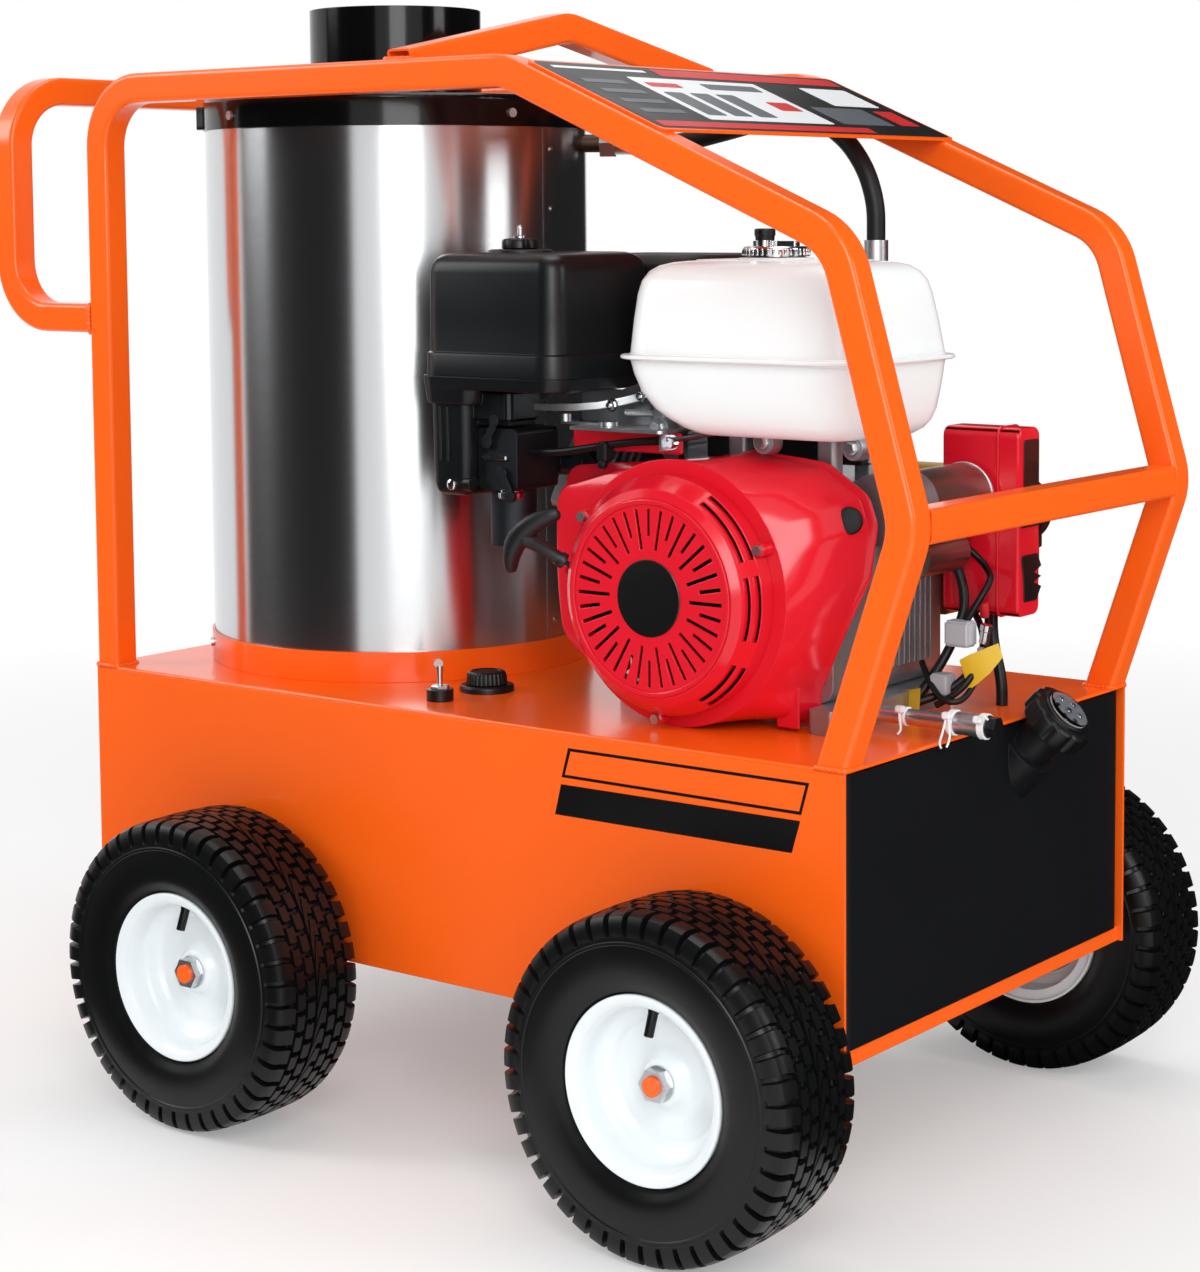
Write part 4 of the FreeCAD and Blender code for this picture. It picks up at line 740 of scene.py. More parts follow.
def mouth_ring(flange, depth):
    """Points round the mouth's inner edge, one for each point of the flange."""
    shares = [(x / math.hypot(x, z), z / math.hypot(x, z)) for x, z in flange]
    return [at(crank_x + x * shroud_hole, shroud_back - depth, crank_z + z * shroud_hole) for x, z in shares]


def block(form, low, high, radius, steps=3):
    """Box between two corners in the deck's millimetres, with rounded edges."""
    made = bmesh.ops.create_cube(form, size=1)["verts"]
    ends = (at(*low), at(*high))
    for vert in made:
        vert.co = Vector([ends[0][i] if vert.co[i] < 0 else ends[1][i] for i in range(3)])
    edges = list({edge for vert in made for edge in vert.link_edges})
    bmesh.ops.bevel(form, geom=edges, offset=radius / 1000, segments=steps, affect="EDGES",
                    clamp_overlap=True)
    return form


rough_flange = softened([Vector((x, z, 0)) for x, z in shroud_outline], 22)
flange = [(point.x, point.y) for point in evenly(rough_flange, 216)]
stations = range(len(drawn_stations))
outer_rings = [shroud_ring(flange, i, 0) for i in stations]
mouth_rings = [mouth_ring(flange, depth) for depth in (shroud_depth, shroud_depth - shroud_skin)]
inner_rings = [shroud_ring(flange, i, shroud_skin) for i in reversed(stations)]
shroud = skin(bmesh.new(), outer_rings + mouth_rings + inner_rings, loop=True)
block(shroud, (crank_x + 92, -149, 455), (crank_x + 119, -146, 497), 1.2)
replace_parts(piece("pressed_fan_shroud", shroud, crimson_enamel, sharp=30), "fan_shroud")

plate_outline = ((-192, 106), (-113, 116), (-113, -100), (-128, -97), (-178, -58))
plate_ring = softened([at(crank_x + x, shroud_back - 1.2, crank_z + z) for x, z in plate_outline], 0.016)
back_plate = skin(bmesh.new(), [plate_ring, [point + Vector((0, 0.001, 0)) for point in plate_ring]])
piece("shroud_back_plate", back_plate, stove_black)
plug_way = Vector((0.46, -0.86, 0.2)).normalized()
plug_profile = ((-6, 13), (1.4, 13.6), (3.2, 12.6), (4.2, 9), (4.4, 3))
plug = lathe(bmesh.new(), plug_profile, at(919.2, -134.4, 660.8), plug_way, 40)
plug_rubber = moulded_plastic("moulded_rubber_black", "#0B0C0E", 0.4, 0.0012, 0.3)
piece("shroud_plug", plug, plug_rubber)


# Recoil starter
# A crimson pressing with radial slots and curved louvres. Its rope reel turns
# behind the slots. The round plate in its middle is bare.

front_way = Vector((0, -1, 0))
paint(crimson_enamel, "recoil_cover")
paint(moulded_plastic("reel_plastic", "#101113", 0.5, 0.001, 0.2), "recoil_reel")
recoil_middle = at(crank_x, -232, crank_z)
plate_profile = ((-1.5, 37.6), (0.6, 37.9), (1.3, 37.2), (1.5, 36), (1.5, 12))
plate = lathe(bmesh.new(), plate_profile, recoil_middle, front_way, 96)
piece("recoil_centre_plate", plate, black_film)
bead_profile = ((0.1, 91), (1.6, 92.2), (1.9, 94), (1.6, 95.8), (0.1, 97))
bead = lathe(bmesh.new(), bead_profile, recoil_middle, front_way, 180, right_way, loop=True)
piece("recoil_face_bead", bead, crimson_enamel)


# Starter handle and rope
# A crescent grip moulded over a tapered stem, on a braided polyester rope.

rope_exit = at(639, -213, 606)
rope_way = Vector((-0.55, -0.62, 0.56)).normalized()
grip_across = Vector((0.713, 0, 0.701)).normalized()
grip_depth = grip_across.cross(rope_way).normalized()
grip_middle = rope_exit + rope_way * 0.0585
grip_half = 42
grip_bend = 15
grip_steps = 28
grip_stations = (
    -1.07, -1.06, -1.035, -1, -0.85, -0.65, -0.4, -0.15, 0.15, 0.4, 0.65, 0.85, 1, 1.035, 1.06, 1.07,
)


def grip_ring(t):
    """Oval ring of the grip; t runs from -1 to 1, and a little beyond for the round ends."""
    close = math.sqrt(max(0.03, 1 - (max(0, abs(t) - 1) / 0.0705) ** 2))
    width = (11.5 - 5.4 * t * t) * close
    thick = (9.4 - 4.6 * t * t) * close
    centre = grip_middle + (grip_across * grip_half * t - rope_way * grip_bend * t * t) / 1000
    along = (grip_across * grip_half - rope_way * 2 * grip_bend * t).normalized()
    side = along.cross(grip_depth)
    turns = [2 * math.pi * k / grip_steps for k in range(grip_steps)]
    return [centre + (side * width * math.cos(a) + grip_depth * thick * math.sin(a)) / 1000 for a in turns]


def rope_ring(along):
    """Ring of the rope with four strands that wind round it."""
    return circle(rope_exit, rope_way, along,
                  lambda turn: 2.35 + 0.15 * math.cos(4 * turn + along * 1.1), 24)


def braided_cord():
    """Braided polyester: two sets of 2 mm strands crossing round the rope."""
    material, shader, place = finish("braided_polyester", "#17181A", Roughness=0.75)
    weave = add(material, "TexWave", {"Vector": place, "Scale": 1 / 0.007, "Distortion": 1.5},
                bands_direction="DIAGONAL")
    emboss(material, shader, weave.outputs["Fac"], 0.4, 0.0004)
    return material


grip = skin(bmesh.new(), [grip_ring(t) for t in grip_stations])
stem_profile = (
    (6, 6.4), (6.4, 8), (11, 8.3), (13, 7), (15, 6.5), (30, 6.7), (42, 8.2), (51, 10.2), (57, 9.8), (62, 6),
)
lathe(grip, stem_profile, rope_exit, rope_way, 32)
grip_rubber = moulded_plastic("grip_rubber", "#131417", 0.34, 0.0014, 0.45)
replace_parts(piece("crescent_grip", grip, grip_rubber, "starter_handle", 50), "starter_grip")
rope = skin(bmesh.new(), [rope_ring(-14 + i / 2) for i in range(43)])
pull_rope = piece("braided_rope", rope, braided_cord(), None, 60)
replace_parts(pull_rope, "starter_rope")
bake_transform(pull_rope)


# Petrol tank
# Two steel pressings in white enamel, joined at a rolled seam. The lower pan
# slopes away on the left, and a shallow raised field lies on the top.

tank_x = (677, 970)
tank_y = (-203, 5)


def plan(x, y, z, corner, steps=10):
    """Ring of a rounded rectangle at one height."""
    ring = []
    for cx, cy, start in ((x[1], y[1], 0), (x[0], y[1], 90), (x[0], y[0], 180), (x[1], y[0], 270)):
        inner_x = cx - corner if start in (0, 270) else cx + corner
        inner_y = cy - corner if start in (0, 90) else cy + corner
        for k in range(steps + 1):
            turn = math.radians(start + 90 * k / steps)
            ring.append(at(inner_x + corner * math.cos(turn), inner_y + corner * math.sin(turn), z))
    return ring


def tank_ring(z, inset, left, corner):
    """Ring of the tank: its inset on three sides and on the left, and its corners."""
    x = (tank_x[0] + left, tank_x[1] - inset)
    y = (tank_y[0] + inset, tank_y[1] - inset)
    return plan(x, y, z, corner)


tank_stations = (
    (738.2, 56, 100, 18), (738, 44, 86, 24), (740, 32, 76, 30), (745, 24, 64, 33), (753, 18, 50, 35),
    (764, 14, 33, 36), (780, 11.5, 19, 36), (798, 9.6, 11.5, 35), (810.4, 8.6, 8.8, 34), (811.8, 7, 7, 35),
    (812.2, 2, 2, 38), (813.2, 0.2, 0.2, 39), (815.4, 0, 0, 39), (816.6, 1.4, 1.4, 38), (817, 7, 7, 35),
    (818.4, 8.6, 8.6, 34), (850, 13, 9.8, 34), (876, 17.4, 11.6, 34), (889, 21, 14.6, 33),
    (898, 27, 19.6, 32), (903.6, 35, 27.4, 30), (906.6, 45, 38, 28), (907.8, 55, 49, 25), (908, 61, 56, 22),
    (909.2, 63, 58, 20), (909.3, 70, 66, 16),
)
tank = skin(bmesh.new(), [tank_ring(*station) for station in tank_stations])
tank_enamel = enamel("white_tank_enamel", "#EFF2F2", "#E4E7E8", 0.14)
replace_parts(piece("pressed_petrol_tank", tank, tank_enamel, sharp=30), "petrol_tank")
cap_place = at(812, -100, 906)
neck_profile = ((-1, 38), (4, 37.8), (4.8, 36.6), (5.2, 30), (5.9, 29), (6.1, 26))
piece("tank_neck_ring", lathe(bmesh.new(), neck_profile, cap_place, up, 64), tank_enamel)


# Petrol cap
# A chrome-plated cap, crimped at its rim over the seal. A black vent tower
# and a grip bar stand on its top.

paint(chrome_plate, "petrol_cap")
vent_profile = ((22, 9.4), (26, 9.6), (27, 10.4), (32.2, 10.4), (33.4, 9.4), (33.6, 3))
vent = lathe(bmesh.new(), vent_profile, cap_place + Vector((-0.008, -0.008, 0)), up, 40)
piece("vent_hood", vent, black_nylon, "petrol_cap")
crimps = bmesh.new()
for foot in circle(cap_place, up, 0, 32.4, 36, right_way):
    lathe(crimps, ((7.4, 1.5), (8, 1.7), (13, 1.5), (14, 0.7)), foot, up, 10)
piece("cap_crimps", crimps, chrome_plate, "petrol_cap")


# Tank brackets
# Cast lugs hold the tank over the shroud by plated hex-head bolts. A folded
# black steel sheet behind them is painted shade: it darkens the gap under the tank.


def hex_head(form, place, way, size, height):
    """Hexagonal head with a chamfered top, in millimetres across its corners."""
    return lathe(form, ((0, size / 2), (height - 1, size / 2), (height, size * 0.43)), place, way, 6)


lugs = bmesh.new()
bolts = bmesh.new()
for lug_x, lug_z in ((827, 733), (930, 732), (700, 741)):
    lathe(lugs, ((-16, 13), (-2, 12.4), (0, 11.4), (0.2, 4)), at(lug_x, -146, lug_z), front_way, 36)
    block(lugs, (lug_x - 8, -146, lug_z), (lug_x + 8, -134, lug_z + 24), 3)
    lathe(bolts, ((0, 9), (1.2, 8.8), (1.4, 3)), at(lug_x, -146.2, lug_z), front_way, 32)
    hex_head(bolts, at(lug_x, -147.4, lug_z), front_way, 13, 5)
piece("tank_lugs", lugs, cast_aluminium, sharp=40)
piece("tank_bolts", bolts, zinc_plate, sharp=40)
# Painted shade: a black sheet behind the lugs darkens the gap under the tank.
shade_sheet = block(bmesh.new(), (702, -66, 708), (890, -64.6, 744), 0.6)
block(shade_sheet, (702, -66, 706.6), (890, -48, 708), 0.6)
piece("tank_shade_sheet", shade_sheet, stove_black)


# Air cleaner
# Two black mouldings over a paper filter: a deep cover with a flared lip, on a
# tray with an elbow. A plated wing knob on a stud holds the cover down.

cleaner_nylon = moulded_plastic("glass_filled_nylon", "#0D1013", 0.26, 0.001, 0.35)
cover_x = (446, 624)
cover_y = (-215, -50)


def cover_ring(z, grow, corner):
    """Ring of the cover, grown beyond its outline."""
    return plan((cover_x[0] - grow, cover_x[1] + grow), (cover_y[0] - grow, cover_y[1] + grow), z, corner)


outer_stations = (
    (790.4, 3, 26), (790.2, 3.8, 27), (811.6, 3.6, 27), (813.2, 3, 26), (814, 1.6, 24), (814.6, 0.2, 23),
    (816, 0, 23), (850, -0.4, 22), (896, -1, 21), (903, -2, 21), (909, -5, 20), (913.4, -10, 19),
    (915.4, -16, 18), (916, -24, 16), (916, -38, 12),
)
inner_stations = (
    (912.6, -38, 12), (912.6, -24, 16), (912, -17, 17), (906, -7, 18), (901, -4.4, 18), (799, -3.2, 20),
    (790.6, -1, 23),
)
cover = skin(bmesh.new(), [cover_ring(*station) for station in inner_stations + outer_stations])
stud_place = at(530, -155, 916)
lathe(cover, ((-2, 34), (1.8, 33), (3, 30), (3.2, 8)), stud_place, up, 56)
cover_piece = piece("deep_filter_cover", cover, cleaner_nylon, "air_cleaner_cover", 30)
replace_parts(cover_piece, "air_cleaner_cover")
wing_profile = (
    (3.2, 17, 4), (4.4, 19, 5.5), (11, 19, 5.5), (13.4, 17.4, 4.6), (14.4, 12, 1.5), (14.6, 5, 0),
)
wing = lobed(bmesh.new(), wing_profile, stud_place, up, 5, 90)
piece("wing_knob", wing, black_nylon, "air_cleaner_cover")


# Filter tray and inlet elbow
# The tray carries the filter; its left side drops into the elbow that feeds the
# carburettor. A plated stud rises through the tray to the wing knob.


def taper_box(form, x, y, levels, corner):
    """Upright moulding. Each level is (height, inset); its corners are rounded."""
    layers = [((x[0] + inset, x[1] - inset), (y[0] + inset, y[1] - inset), z, max(corner - inset, 1))
              for z, inset in levels]
    skin(form, [plan(*layer, 6) for layer in layers])


paint(cleaner_nylon, "air_cleaner_base")
tray = bmesh.new()
tray_levels = ((776, 5), (777.5, 3), (780, 2), (789.4, 1), (790.1, 1.6), (790.1, 8))
taper_box(tray, (437, 628), (-219.5, -47), tray_levels, 25)
taper_box(tray, (438, 516), (-219, -70), ((760, 9), (761, 6.5), (764, 4.5), (778, 3)), 22)
elbow_levels = ((665.3, 12), (666.4, 8), (670, 4.4), (676, 2.4), (700, 1.2), (762, 0))
taper_box(tray, (447, 500), (-208, -118), elbow_levels, 13)
block(tray, (488, -196, 739), (548, -140, 779), 7)
block(tray, (480, -189, 680), (499.6, -128, 735), 5)
block(tray, (462, -209, 700), (466, -206, 758), 1.4)
block(tray, (472, -209, 700), (476, -206, 758), 1.4)
lathe(tray, ((0, 8.4), (3, 8.4), (26, 8), (27, 6)), at(474, -198, 678), right_way, 24)
tray_piece = piece("filter_tray_and_elbow", tray, cleaner_nylon, sharp=30)
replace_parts(tray_piece, "air_cleaner_base")
stud = lathe(bmesh.new(), ((-130, 3), (25, 3), (26.4, 2.8), (27.6, 1.6)), stud_place, up, 24)
for i in range(9):
    lathe(stud, ((16 + i, 3), (16.5 + i, 3.4), (17 + i, 3)), stud_place, up, 20)
lathe(stud, ((14.8, 7), (16.4, 7), (17.6, 5), (17.6, 3)), stud_place, up, 32)
piece("cleaner_stud", stud, chrome_plate, sharp=40)
screw_profile = ((0, 6), (2.2, 5.8), (3.6, 4), (3.9, 1.5))
elbow_screw = lathe(bmesh.new(), screw_profile, at(478, -206.4, 677), front_way, 24)
piece("elbow_screw", elbow_screw, chrome_plate)


# Carburettor and controls
# A die-cast carburettor with flat choke and fuel levers in the same dark metal.
# Pressed zinc-plated plates over the shroud carry the throttle lever, its spring
# and its cable.

carburettor_metal = cast_metal("oiled_cast_zinc", "#4A4E53", "#2C2F33", 0.0011)
throttle_plate_foot = 719.5
paint(carburettor_metal, "carburettor", "choke_lever", "fuel_valve_lever")
paint_part("carburettor", zinc_plate, lambda x, y, z: z > throttle_plate_foot and x > 600)
paint(zinc_plate, "throttle_lever")


def plate_of(form, outline, y, thickness):
    """Flat pressing that stands across the machine: its outline is in x and z."""
    ring = softened([at(x, y, z) for x, z in outline], 0.004, 4)
    depth = Vector((0, thickness / 1000, 0))
    skin(form, [ring, [point + depth for point in ring]])


bracket = bmesh.new()
bracket_outline = (
    (575, 741.4), (576, 775.2), (628, 775.4), (650, 782), (684, 784), (698, 768), (720, 741.4),
)
plate_of(bracket, bracket_outline, -112, 2)
plate_of(bracket, ((560, 741.4), (566, 752), (604, 757), (628, 758), (634, 741.4)), -100, 2)
plate_of(bracket, ((652, 741.4), (656, 764), (672, 768), (676, 741.4)), -124, 2)
block(bracket, (650, -124, 762), (678, -110, 765), 1)
block(bracket, (684, -122, 741.4), (704, -110, 766), 2)
link_track = (
    (566, -176, 759), (590, -173, 759.4), (612, -166, 760), (634, -156, 762), (652, -142, 766),
    (668, -128, 771),
)
skin(bracket, [[at(x, y, z - 4), at(x - 1, y - 1.6, z - 3.4), at(x - 1, y - 1.6, z + 3.4), at(x, y, z + 4)]
               for x, y, z in link_track])
piece("governor_plates", bracket, zinc_plate)
nuts = bmesh.new()
for x, y, z in ((668, -130, 771), (700, -123, 756), (646, -151, 762.4)):
    lathe(nuts, ((0, 7), (1, 6.8), (1.2, 3)), at(x, y, z), front_way, 24)
    hex_head(nuts, at(x, y - 1, z), front_way, 10, 4.6)
    lathe(nuts, ((5, 2.6), (8, 2.5), (8.6, 1.6)), at(x, y, z), front_way, 16)
piece("governor_nuts", nuts, chrome_plate)
spring = []
spring_steps = 24 * 8
for i in range(spring_steps + 1):
    turn = 2 * math.pi * i / 8
    spring.append((650 + 56 * i / spring_steps, -134 + 3 * math.cos(turn), 754 + 3 * math.sin(turn)))
round_run("governor_spring", spring, 0.55, chrome_plate, resolution=3)
top_strip = block(bmesh.new(), (594, -151, 716), (733, -147, 737.2), 1.6)
piece("shroud_top_strip", top_strip, crimson_enamel)
strip_bolt = lathe(bmesh.new(), ((0, 8), (1.4, 7.8), (1.6, 3)), at(722, -151, 728), front_way, 28)
hex_head(strip_bolt, at(722, -152.4, 728), front_way, 12, 5)
piece("strip_bolt", strip_bolt, chrome_plate)
trim = block(bmesh.new(), (506, -193.4, 703), (540, -189.4, 709.5), 1.6)
lathe(trim, ((0, 13), (2, 14), (6, 14), (7, 12.4), (9, 12.4), (9.6, 11)), at(536, -180, 664), up, 36)
piece("carburettor_trim", trim, chrome_plate)


# Muffler
# A pressed steel can inside a louvred guard. Both are sprayed with black
# heat-proof paint, which dries matt and slightly rough.

paint(stove_black, "muffler")


# Starter motor
# A drawn steel motor body, with a cast nose and a solenoid strapped below it.
# Plated screws close its back, and a nut holds the cable on the solenoid.

back_way = Vector((0, 1, 0))
nose_front = -34.5
mount_end = 905
paint(plated_steel("drawn_motor_shell", "#A0968F", 0.3), "starter_motor")
paint_part("starter_motor", cast_aluminium, lambda x, y, z: y < nose_front and z > 640 or x < mount_end)
motor_place = at(925, 72, 668)
ring_profile = ((-3, 33.4), (-2.4, 34), (0.4, 34), (1, 33), (1.2, 20))
motor_trim = lathe(bmesh.new(), ring_profile, motor_place, back_way, 64)
for screw_x in (0.02, -0.02):
    hex_head(motor_trim, motor_place + Vector((screw_x, 0.001, 0.014)), back_way, 8, 3.4)
hex_head(motor_trim, at(919, 60, 620), back_way, 13, 6)
lathe(motor_trim, ((5, 3), (13, 3), (13.4, 2.4)), at(919, 60, 620), back_way, 20)
hex_head(motor_trim, at(911, 60, 606), back_way, 11, 5)
piece("motor_trim", motor_trim, zinc_plate)


# Control box and key
# A pressed box in crimson enamel, with a seam round its cover and two black
# inlays on its end. The key switch stands on the far side in a black bezel.

paint(crimson_enamel, "control_box")
box_end_x = 983
box_y = (80, 124)
box_z = (545, 737)


def box_ring(x, proud, corner=10):
    """Ring round the control box at one x."""
    y = (box_y[0] - proud, box_y[1] + proud)
    z = (box_z[0] - proud, box_z[1] + proud)
    corners = [at(x, y[0], z[0]), at(x, y[1], z[0]), at(x, y[1], z[1]), at(x, y[0], z[1])]
    return softened(corners, corner / 1000)


seam_track = ((957, 0.1), (957.4, 1.3), (958.6, 1.7), (959.8, 1.3), (960.2, 0.1))
seam = skin(bmesh.new(), [box_ring(x, proud) for x, proud in seam_track], loop=True)
piece("control_box_seam", seam, crimson_enamel)
inlay_outlines = (
    ((89, 725), (119, 725), (119, 636), (84, 636), (84, 644), (89, 664)),
    ((84, 608), (119, 608), (118, 584), (117, 560), (90, 560), (89, 582)),
)
inlays = bmesh.new()
for outline in inlay_outlines:
    corners = [at(box_end_x, y, z) for y, z in outline]
    centre = sum(corners, Vector()) / len(corners)
    edge = [(point, (centre - point).normalized()) for point in softened(corners, 0.003, 4)]
    skin(inlays, [[point + (right_way * reach + inward * inset) / 1000 for point, inward in edge]
                  for reach, inset in ((0.02, 0), (0.8, 0), (1.3, 0.6))])
inlay_acrylic = moulded_plastic("inlay_acrylic", "#1B1416", 0.14, 0.002, 0.5)
piece("control_box_inlays", inlays, inlay_acrylic)
window = block(bmesh.new(), (984, 88, 640), (985, 115, 648), 0.5)
window_acrylic = moulded_plastic("window_acrylic", "#8E9094", 0.2, 0.002, 0.5)
piece("control_box_window", window, window_acrylic)

bezel_place = at(948, 142.3, 650)
bezel_profile = ((-18.2, 35), (-15, 37.4), (-12, 38), (-4, 38), (-1.6, 37), (-0.4, 34), (-0.4, 4))
bezel = lathe(bmesh.new(), bezel_profile, bezel_place, back_way, 64)
lathe(bezel, ((-3, 12.6), (-0.2, 12.4), (0, 11), (0, 4)), at(955, 142.3, 650), back_way, 40)
for foot in circle(bezel_place, front_way, 0, 37.6, 12, right_way):
    lathe(bezel, ((-12, 1.8), (-3, 1.8), (-2, 1)), foot, back_way, 8)
piece("key_bezel", bezel, black_nylon)
paint(chrome_plate, "ignition_key")
key_bow = bmesh.new()
for cheek_x in (953, 957):
    block(key_bow, (cheek_x - 1.4, 153.6, 639.6), (cheek_x + 1.4, 174, 660.4), 1.3)
piece("key_bow_cover", key_bow, black_nylon, "ignition_key")
ring_points = []
for i in range(25):
    turn = 2 * math.pi * i / 24
    ring_points.append((955 + 2 * math.sin(turn), 172 + 9 * math.sin(turn), 634 + 11 * math.cos(turn)))
round_run("key_ring", ring_points, 0.8, chrome_plate, "ignition_key", 4)
spare = block(bmesh.new(), (954, 160, 606), (957, 176, 627), 1.2)
block(spare, (954.4, 165, 584), (956.4, 171, 607), 0.6)
piece("spare_key", spare, chrome_plate, "ignition_key")


# Wiring and cables
# PVC cables in split sleeves, with moulded connectors, crimped terminals and
# plain tags. The throttle cable is clipped over the top of the shroud.

sleeve = moulded_plastic("pvc_sleeve", "#0C0D0F", 0.34, 0.0012, 0.35)
paint(sleeve, "wiring_harness")
core_track = ((716, -156, 730), (740, -152, 733), (764, -146, 738), (786, -140, 742))
cable_core = plated_steel("wound_cable_core", "#8D9296", 0.25)
round_run("throttle_cable_core", core_track, 2.4, cable_core)
clip = block(bmesh.new(), (643, -176, 706), (656, -160, 727), 2.4)
block(clip, (645, -177, 700), (654, -168, 708), 1.8)
piece("throttle_cable_clip", clip, sleeve)
runs = (
    ("loom_left", 5, sleeve, "cable_rubber",
     ((918, 60, 604), (934, 66, 572), (930, 46, 524), (912, 22, 478), (898, 8, 456))),
    ("loom_middle", 4.4, sleeve, "cable_rubber",
     ((944, 88, 545), (958, 66, 520), (954, 40, 494), (930, 22, 470), (906, 0, 462))),
    ("loom_right", 3.6, sleeve, "cable_rubber",
     ((926, 90, 545), (956, 58, 536), (968, 34, 506), (952, 14, 474), (930, 8, 462))),
    ("loom_lower", 3.2, sleeve, "cable_rubber",
     ((900, 30, 500), (922, 12, 478), (946, 2, 466), (962, 20, 470), (960, 46, 500))),
    ("solenoid_lead", 3.4, sleeve, "cable_rubber",
     ((919, 72, 620), (936, 82, 604), (952, 74, 592), (966, 56, 586), (956, 40, 560), (940, 34, 530))),
    ("pickup_lead", 3.2, sleeve, "cable_rubber",
     ((872, -114, 560), (882, -126, 566), (892, -124, 556), (890, -114, 540), (880, -108, 520),
      (876, -108, 500))),
    ("pickup_braid", 2.2, chrome_plate, "zinc_steel",
     ((868, -120, 566), (880, -132, 572), (894, -130, 560), (888, -120, 546))),
)
for name, radius, material, slot, points in runs:
    round_run(name, points, radius, material)
connectors = block(bmesh.new(), (930, 22, 520), (958, 42, 546), 2.4)
block(connectors, (918, 14, 470), (938, 34, 492), 2)
natural_nylon = moulded_plastic("natural_nylon", "#B9BEC4", 0.4, 0.001)
piece("white_connectors", connectors, natural_nylon)
terminals = block(bmesh.new(), (960, 36, 500), (970, 42, 520), 1.4)
barrel_way = Vector((0.2, 0, 1)).normalized()
lathe(terminals, ((0, 5), (12, 5), (13, 6), (19, 6), (20, 4)), at(966, 40, 524), barrel_way, 20)
lathe(terminals, ((0, 5.4), (10, 5.4), (11, 3)), at(938, 84, 600), Vector((0, 0.4, 1)).normalized(), 20)
piece("crimp_terminals", terminals, chrome_plate)
red_way = Vector((0.1, -0.3, 1)).normalized()
red_sleeve = lathe(bmesh.new(), ((0, 4.4), (1, 4.8), (15, 4.8), (16, 4)), at(958, 56, 548), red_way, 20)
piece("red_terminal_sleeve", red_sleeve, moulded_plastic("red_pvc", "#C21B24", 0.35, 0.001))


def tag(form, corners, thickness=0.6):
    """Bent card tag: a strip of quads through pairs of points."""
    out = Vector((thickness, -thickness, 0)) / 1000
    skin(form, [[at(*low), at(*high), at(*high) + out, at(*low) + out] for low, high in corners])


tags = bmesh.new()
tag(tags, (((958, 24, 478), (950, 20, 508)), ((966, 26, 484), (960, 22, 514)),
           ((978, 32, 496), (972, 30, 520)), ((988, 40, 512), (984, 38, 526))))
tag(tags, (((894, 2, 458), (898, 0, 476)), ((908, -8, 456), (910, -8, 478)),
           ((924, -14, 460), (924, -12, 482))))
piece("cable_tags", tags, vinyl_film("yellow_tag_card", "#D9B51C"))


# Pump
# A cast crankcase with a forged brass head. The unloader's knob and the steel
# riser of the high-pressure line stand on the head.

paint(cast_aluminium, "water_pump")
paint(plated_steel("forged_brass", "#B08A45", 0.3), "pump_manifold")
paint(black_nylon, "unloader_knob")


# Pipes, hose and drain
# Zinc-plated pipe and unions, a wire-braided rubber hose over to the coil, and
# the oil drain with its cap and three nylon ties.

drain_cap_start = 1048.2
paint(zinc_plate, "steel_pipes")
paint_part("steel_pipes", black_nylon, lambda x, y, z: x > drain_cap_start)
paint(moulded_plastic("braid_hose_rubber", "#111214", 0.42, 0.0016, 0.35), "pressure_hose")
tie_nylon = moulded_plastic("tie_nylon", "#E9ECEC", 0.35, 0.001)
drain_x = 908
ties = bmesh.new()
for along, radius in ((44, 8.2), (98, 11.2), (132, 11.2)):
    band_profile = ((0, radius), (0.4, radius + 1.3), (6.6, radius + 1.3), (7, radius))
    lathe(ties, band_profile, at(drain_x + along, -90, 469), right_way, 36)
    block(ties, (drain_x + along - 1, -96 - radius, 474), (drain_x + along + 8, -89 - radius, 481), 1.2)
piece("cable_ties", ties, tie_nylon)
tails = (
    ((956, -103, 474), (960, -108, 466), (964, -112, 459), (962, -116, 456)),
    ((1009, -105, 474), (1010, -112, 462), (1008, -116, 452), (1012, -118, 449)),
    ((1012, -105, 475), (1018, -114, 470), (1022, -118, 458), (1019, -120, 451)),
    ((1044, -105, 478), (1052, -108, 484), (1058, -110, 480)),
)
for number, points in enumerate(tails):
    round_run(f"tie_tail_{number}", points, 1.1, tie_nylon)


# Fasteners
# Washers, hex nuts and screws of turned steel. All are zinc-plated in one bath,
# and none is painted over.

paint(zinc_plate, "fasteners")


# Studio
# A white floor that fades into a white backdrop, soft lamps, and dark cards that
# give the drum its dark bands. None of it is part of the machine.

floor_half = 15
camera_yaw = 127.13
camera_pitch = -4.83
camera_roll = -0.37


def larger(owner, first, second):
    return add(owner, "Math", {0: first, 1: second}, operation="MAXIMUM").outputs[0]


def seen_directly(owner):
    """Is 1 for rays from the camera, also when mirrored or refracted, and 0 for the rest."""
    rays = add(owner, "LightPath").outputs
    bent = larger(owner, rays["Is Glossy Ray"], rays["Is Transmission Ray"])
    return larger(owner, rays["Is Camera Ray"], bent)


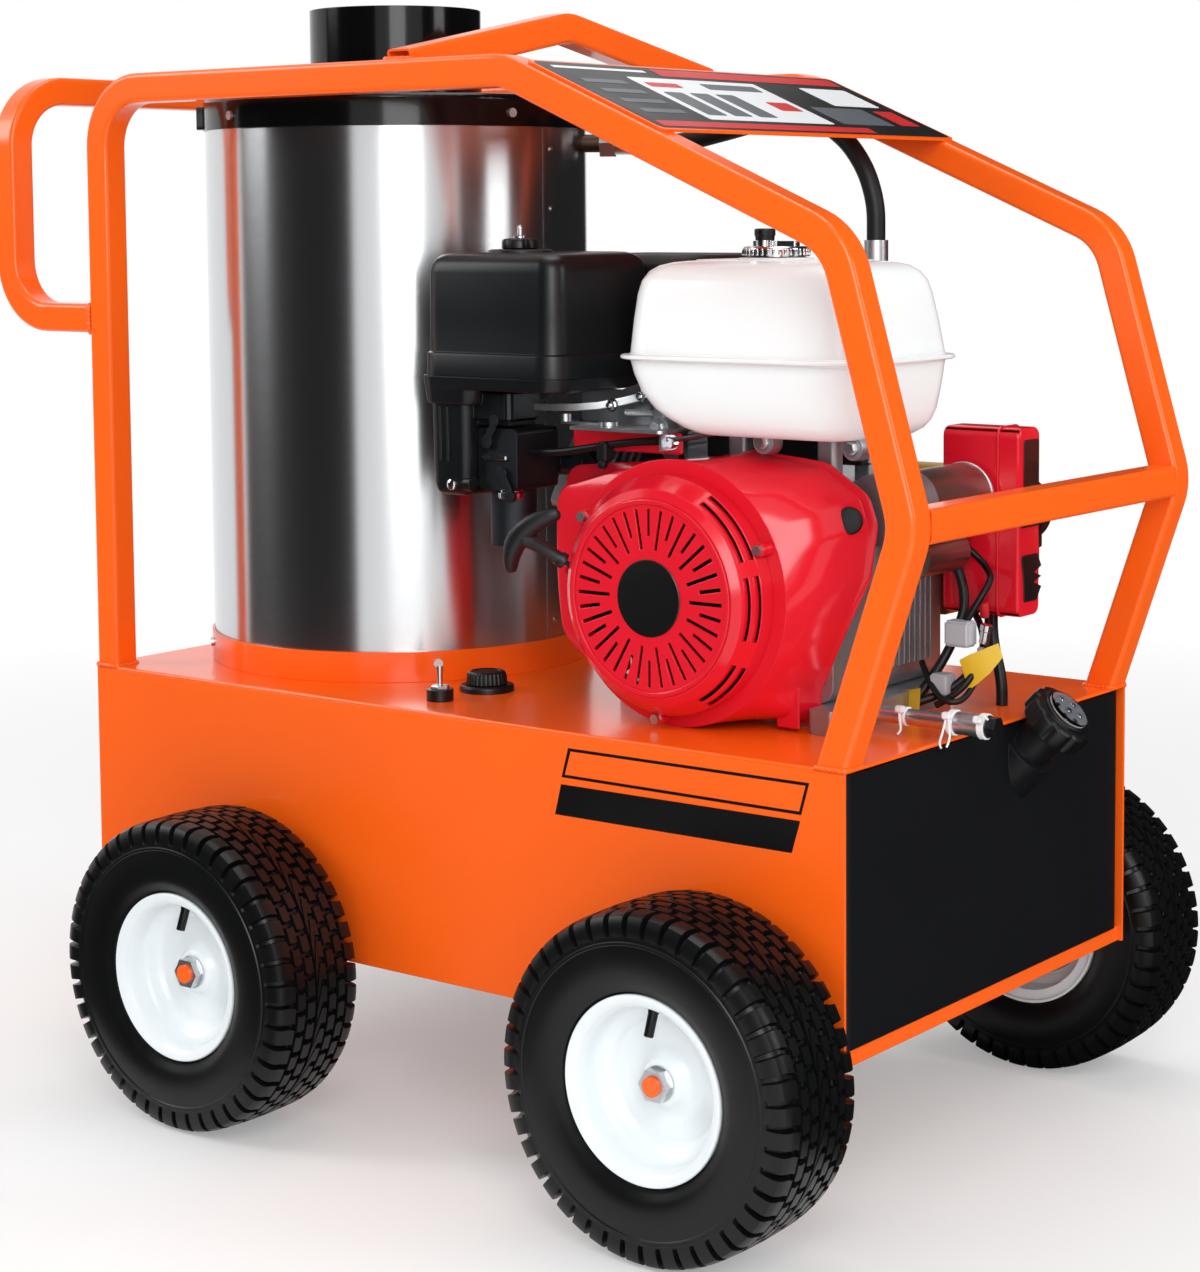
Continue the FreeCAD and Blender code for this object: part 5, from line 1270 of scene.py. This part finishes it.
def studio_floor():
    """Pale matt floor; seen directly it turns to plain white away from the machine."""
    material, shader, place = finish("studio_floor", "#F4F4F4", Roughness=0.7, Specular_IOR_Level=0.2)
    reach = add(material, "VectorMath", {0: place}, operation="LENGTH")
    far = add(material, "MapRange", {"Value": reach.outputs["Value"], "From Min": 1.1, "From Max": 3.2})
    lift = add(material, "MapRange", {"Value": far.outputs["Result"], "To Min": 0.28, "To Max": 1.0})
    seen = seen_directly(material)
    share = add(material, "Math", {0: lift.outputs["Result"], 1: seen}, operation="MULTIPLY")
    white = add(material, "Emission", {"Color": linear("#FFFFFF"), "Strength": 1.0})
    mixed = add(material, "MixShader", {0: share.outputs[0], 1: shader.outputs[0], 2: white.outputs[0]})
    end = next(node for node in material.node_tree.nodes if node.type == "OUTPUT_MATERIAL")
    link(material, mixed.outputs[0], end.inputs["Surface"])
    return material


def flat_stage(name, corners, material):
    mesh = bpy.data.meshes.new(name)
    mesh.from_pydata(corners, [], [range(len(corners))])
    card = bpy.data.objects.new(name, mesh)
    bpy.context.scene.collection.objects.link(card)
    mesh.materials.append(material)
    return card


def studio_card(name, angle, spread, material):
    """Dark curved wall and floor flag that only reflections show.

    The angle is seen from the boiler, to the right of the camera.
    """
    count = 8
    flag_start, card_distance = 0.6, 4.2
    flag_height, card_height = 0.004, 9
    foot = at(boiler_x, 0, 0)
    for i in range(count):
        ways = []
        for share in (i, i + 1):
            turn = math.radians(camera_yaw + 180 + angle - spread / 2 + spread * share / count)
            ways.append(Vector((math.cos(turn), math.sin(turn), 0)))
        near, far = [[foot + way * reach for way in ways] for reach in (flag_start, card_distance)]
        heights = (flag_height, flag_height, card_height, card_height)
        wall = [(p.x, p.y, z) for p, z in zip(far + far[::-1], heights)]
        flag = [(p.x, p.y, flag_height) for p in near + far[::-1]]
        for part, corners in (("wall", wall), ("flag", flag)):
            card = flat_stage(f"{name}_{part}_{i}", corners, material)
            card.visible_camera = False
            card.visible_shadow = False
            card.visible_diffuse = False


def lamp(name, place, target, size, power):
    data = bpy.data.lights.new(name, "AREA")
    data.shape = "RECTANGLE"
    data.size, data.size_y = size
    data.energy = power
    light = bpy.data.objects.new(name, data)
    bpy.context.scene.collection.objects.link(light)
    light.location = place
    light.rotation_euler = (Vector(target) - Vector(place)).to_track_quat("-Z", "Y").to_euler()
    light.visible_camera = False


floor_corners = [(x * floor_half, y * floor_half, 0) for x, y in ((-1, -1), (1, -1), (1, 1), (-1, 1))]
flat_stage("floor", floor_corners, studio_floor())
card_paint = finish("studio_card", "#101012", Roughness=0.8)[0]
studio_card("dark_card_left", -60, 78, card_paint)
studio_card("dark_card_right", 103, 124, card_paint)
lamp("key_softbox", (2.5, -2.7, 2.1), (0, 0, 0.5), (1.5, 2.8), 76)
lamp("left_softbox", (-2.8, -2.2, 2.4), (0, 0, 0.5), (1.2, 2.0), 45)
lamp("top_softbox", (0.2, 0.4, 3.8), (0, 0, 0.5), (2.5, 1.6), 34)
lamp("front_softbox", (3.4, 0.8, 1.8), (0.3, 0, 0.5), (1.0, 1.8), 25)

world = bpy.data.worlds.new("studio")
bpy.context.scene.world = world
world.use_nodes = True
backdrop = world.node_tree.nodes["Background"]
backdrop.inputs["Color"].default_value = linear("#FFFFFF")
strength = add(world, "MapRange", {"Value": seen_directly(world), "To Min": 0.55, "To Max": 1.0})
link(world, strength.outputs["Result"], backdrop.inputs["Strength"])
bpy.context.scene.view_settings.view_transform = "Standard"

camera = bpy.data.objects.new("camera", bpy.data.cameras.new("camera"))
bpy.context.scene.collection.objects.link(camera)
bpy.context.scene.camera = camera
camera.location = (1.8384, -2.2566, 0.9562)
yaw, pitch = math.radians(camera_yaw), math.radians(camera_pitch)
aim = Vector((math.cos(yaw) * math.cos(pitch), math.sin(yaw) * math.cos(pitch), math.sin(pitch)))
turned = aim.to_track_quat("-Z", "Y") @ Matrix.Rotation(math.radians(camera_roll), 4, "Z").to_quaternion()
camera.rotation_euler = turned.to_euler()
camera.data.lens = 75.24
camera.data.shift_x, camera.data.shift_y = -0.0461, -0.1567
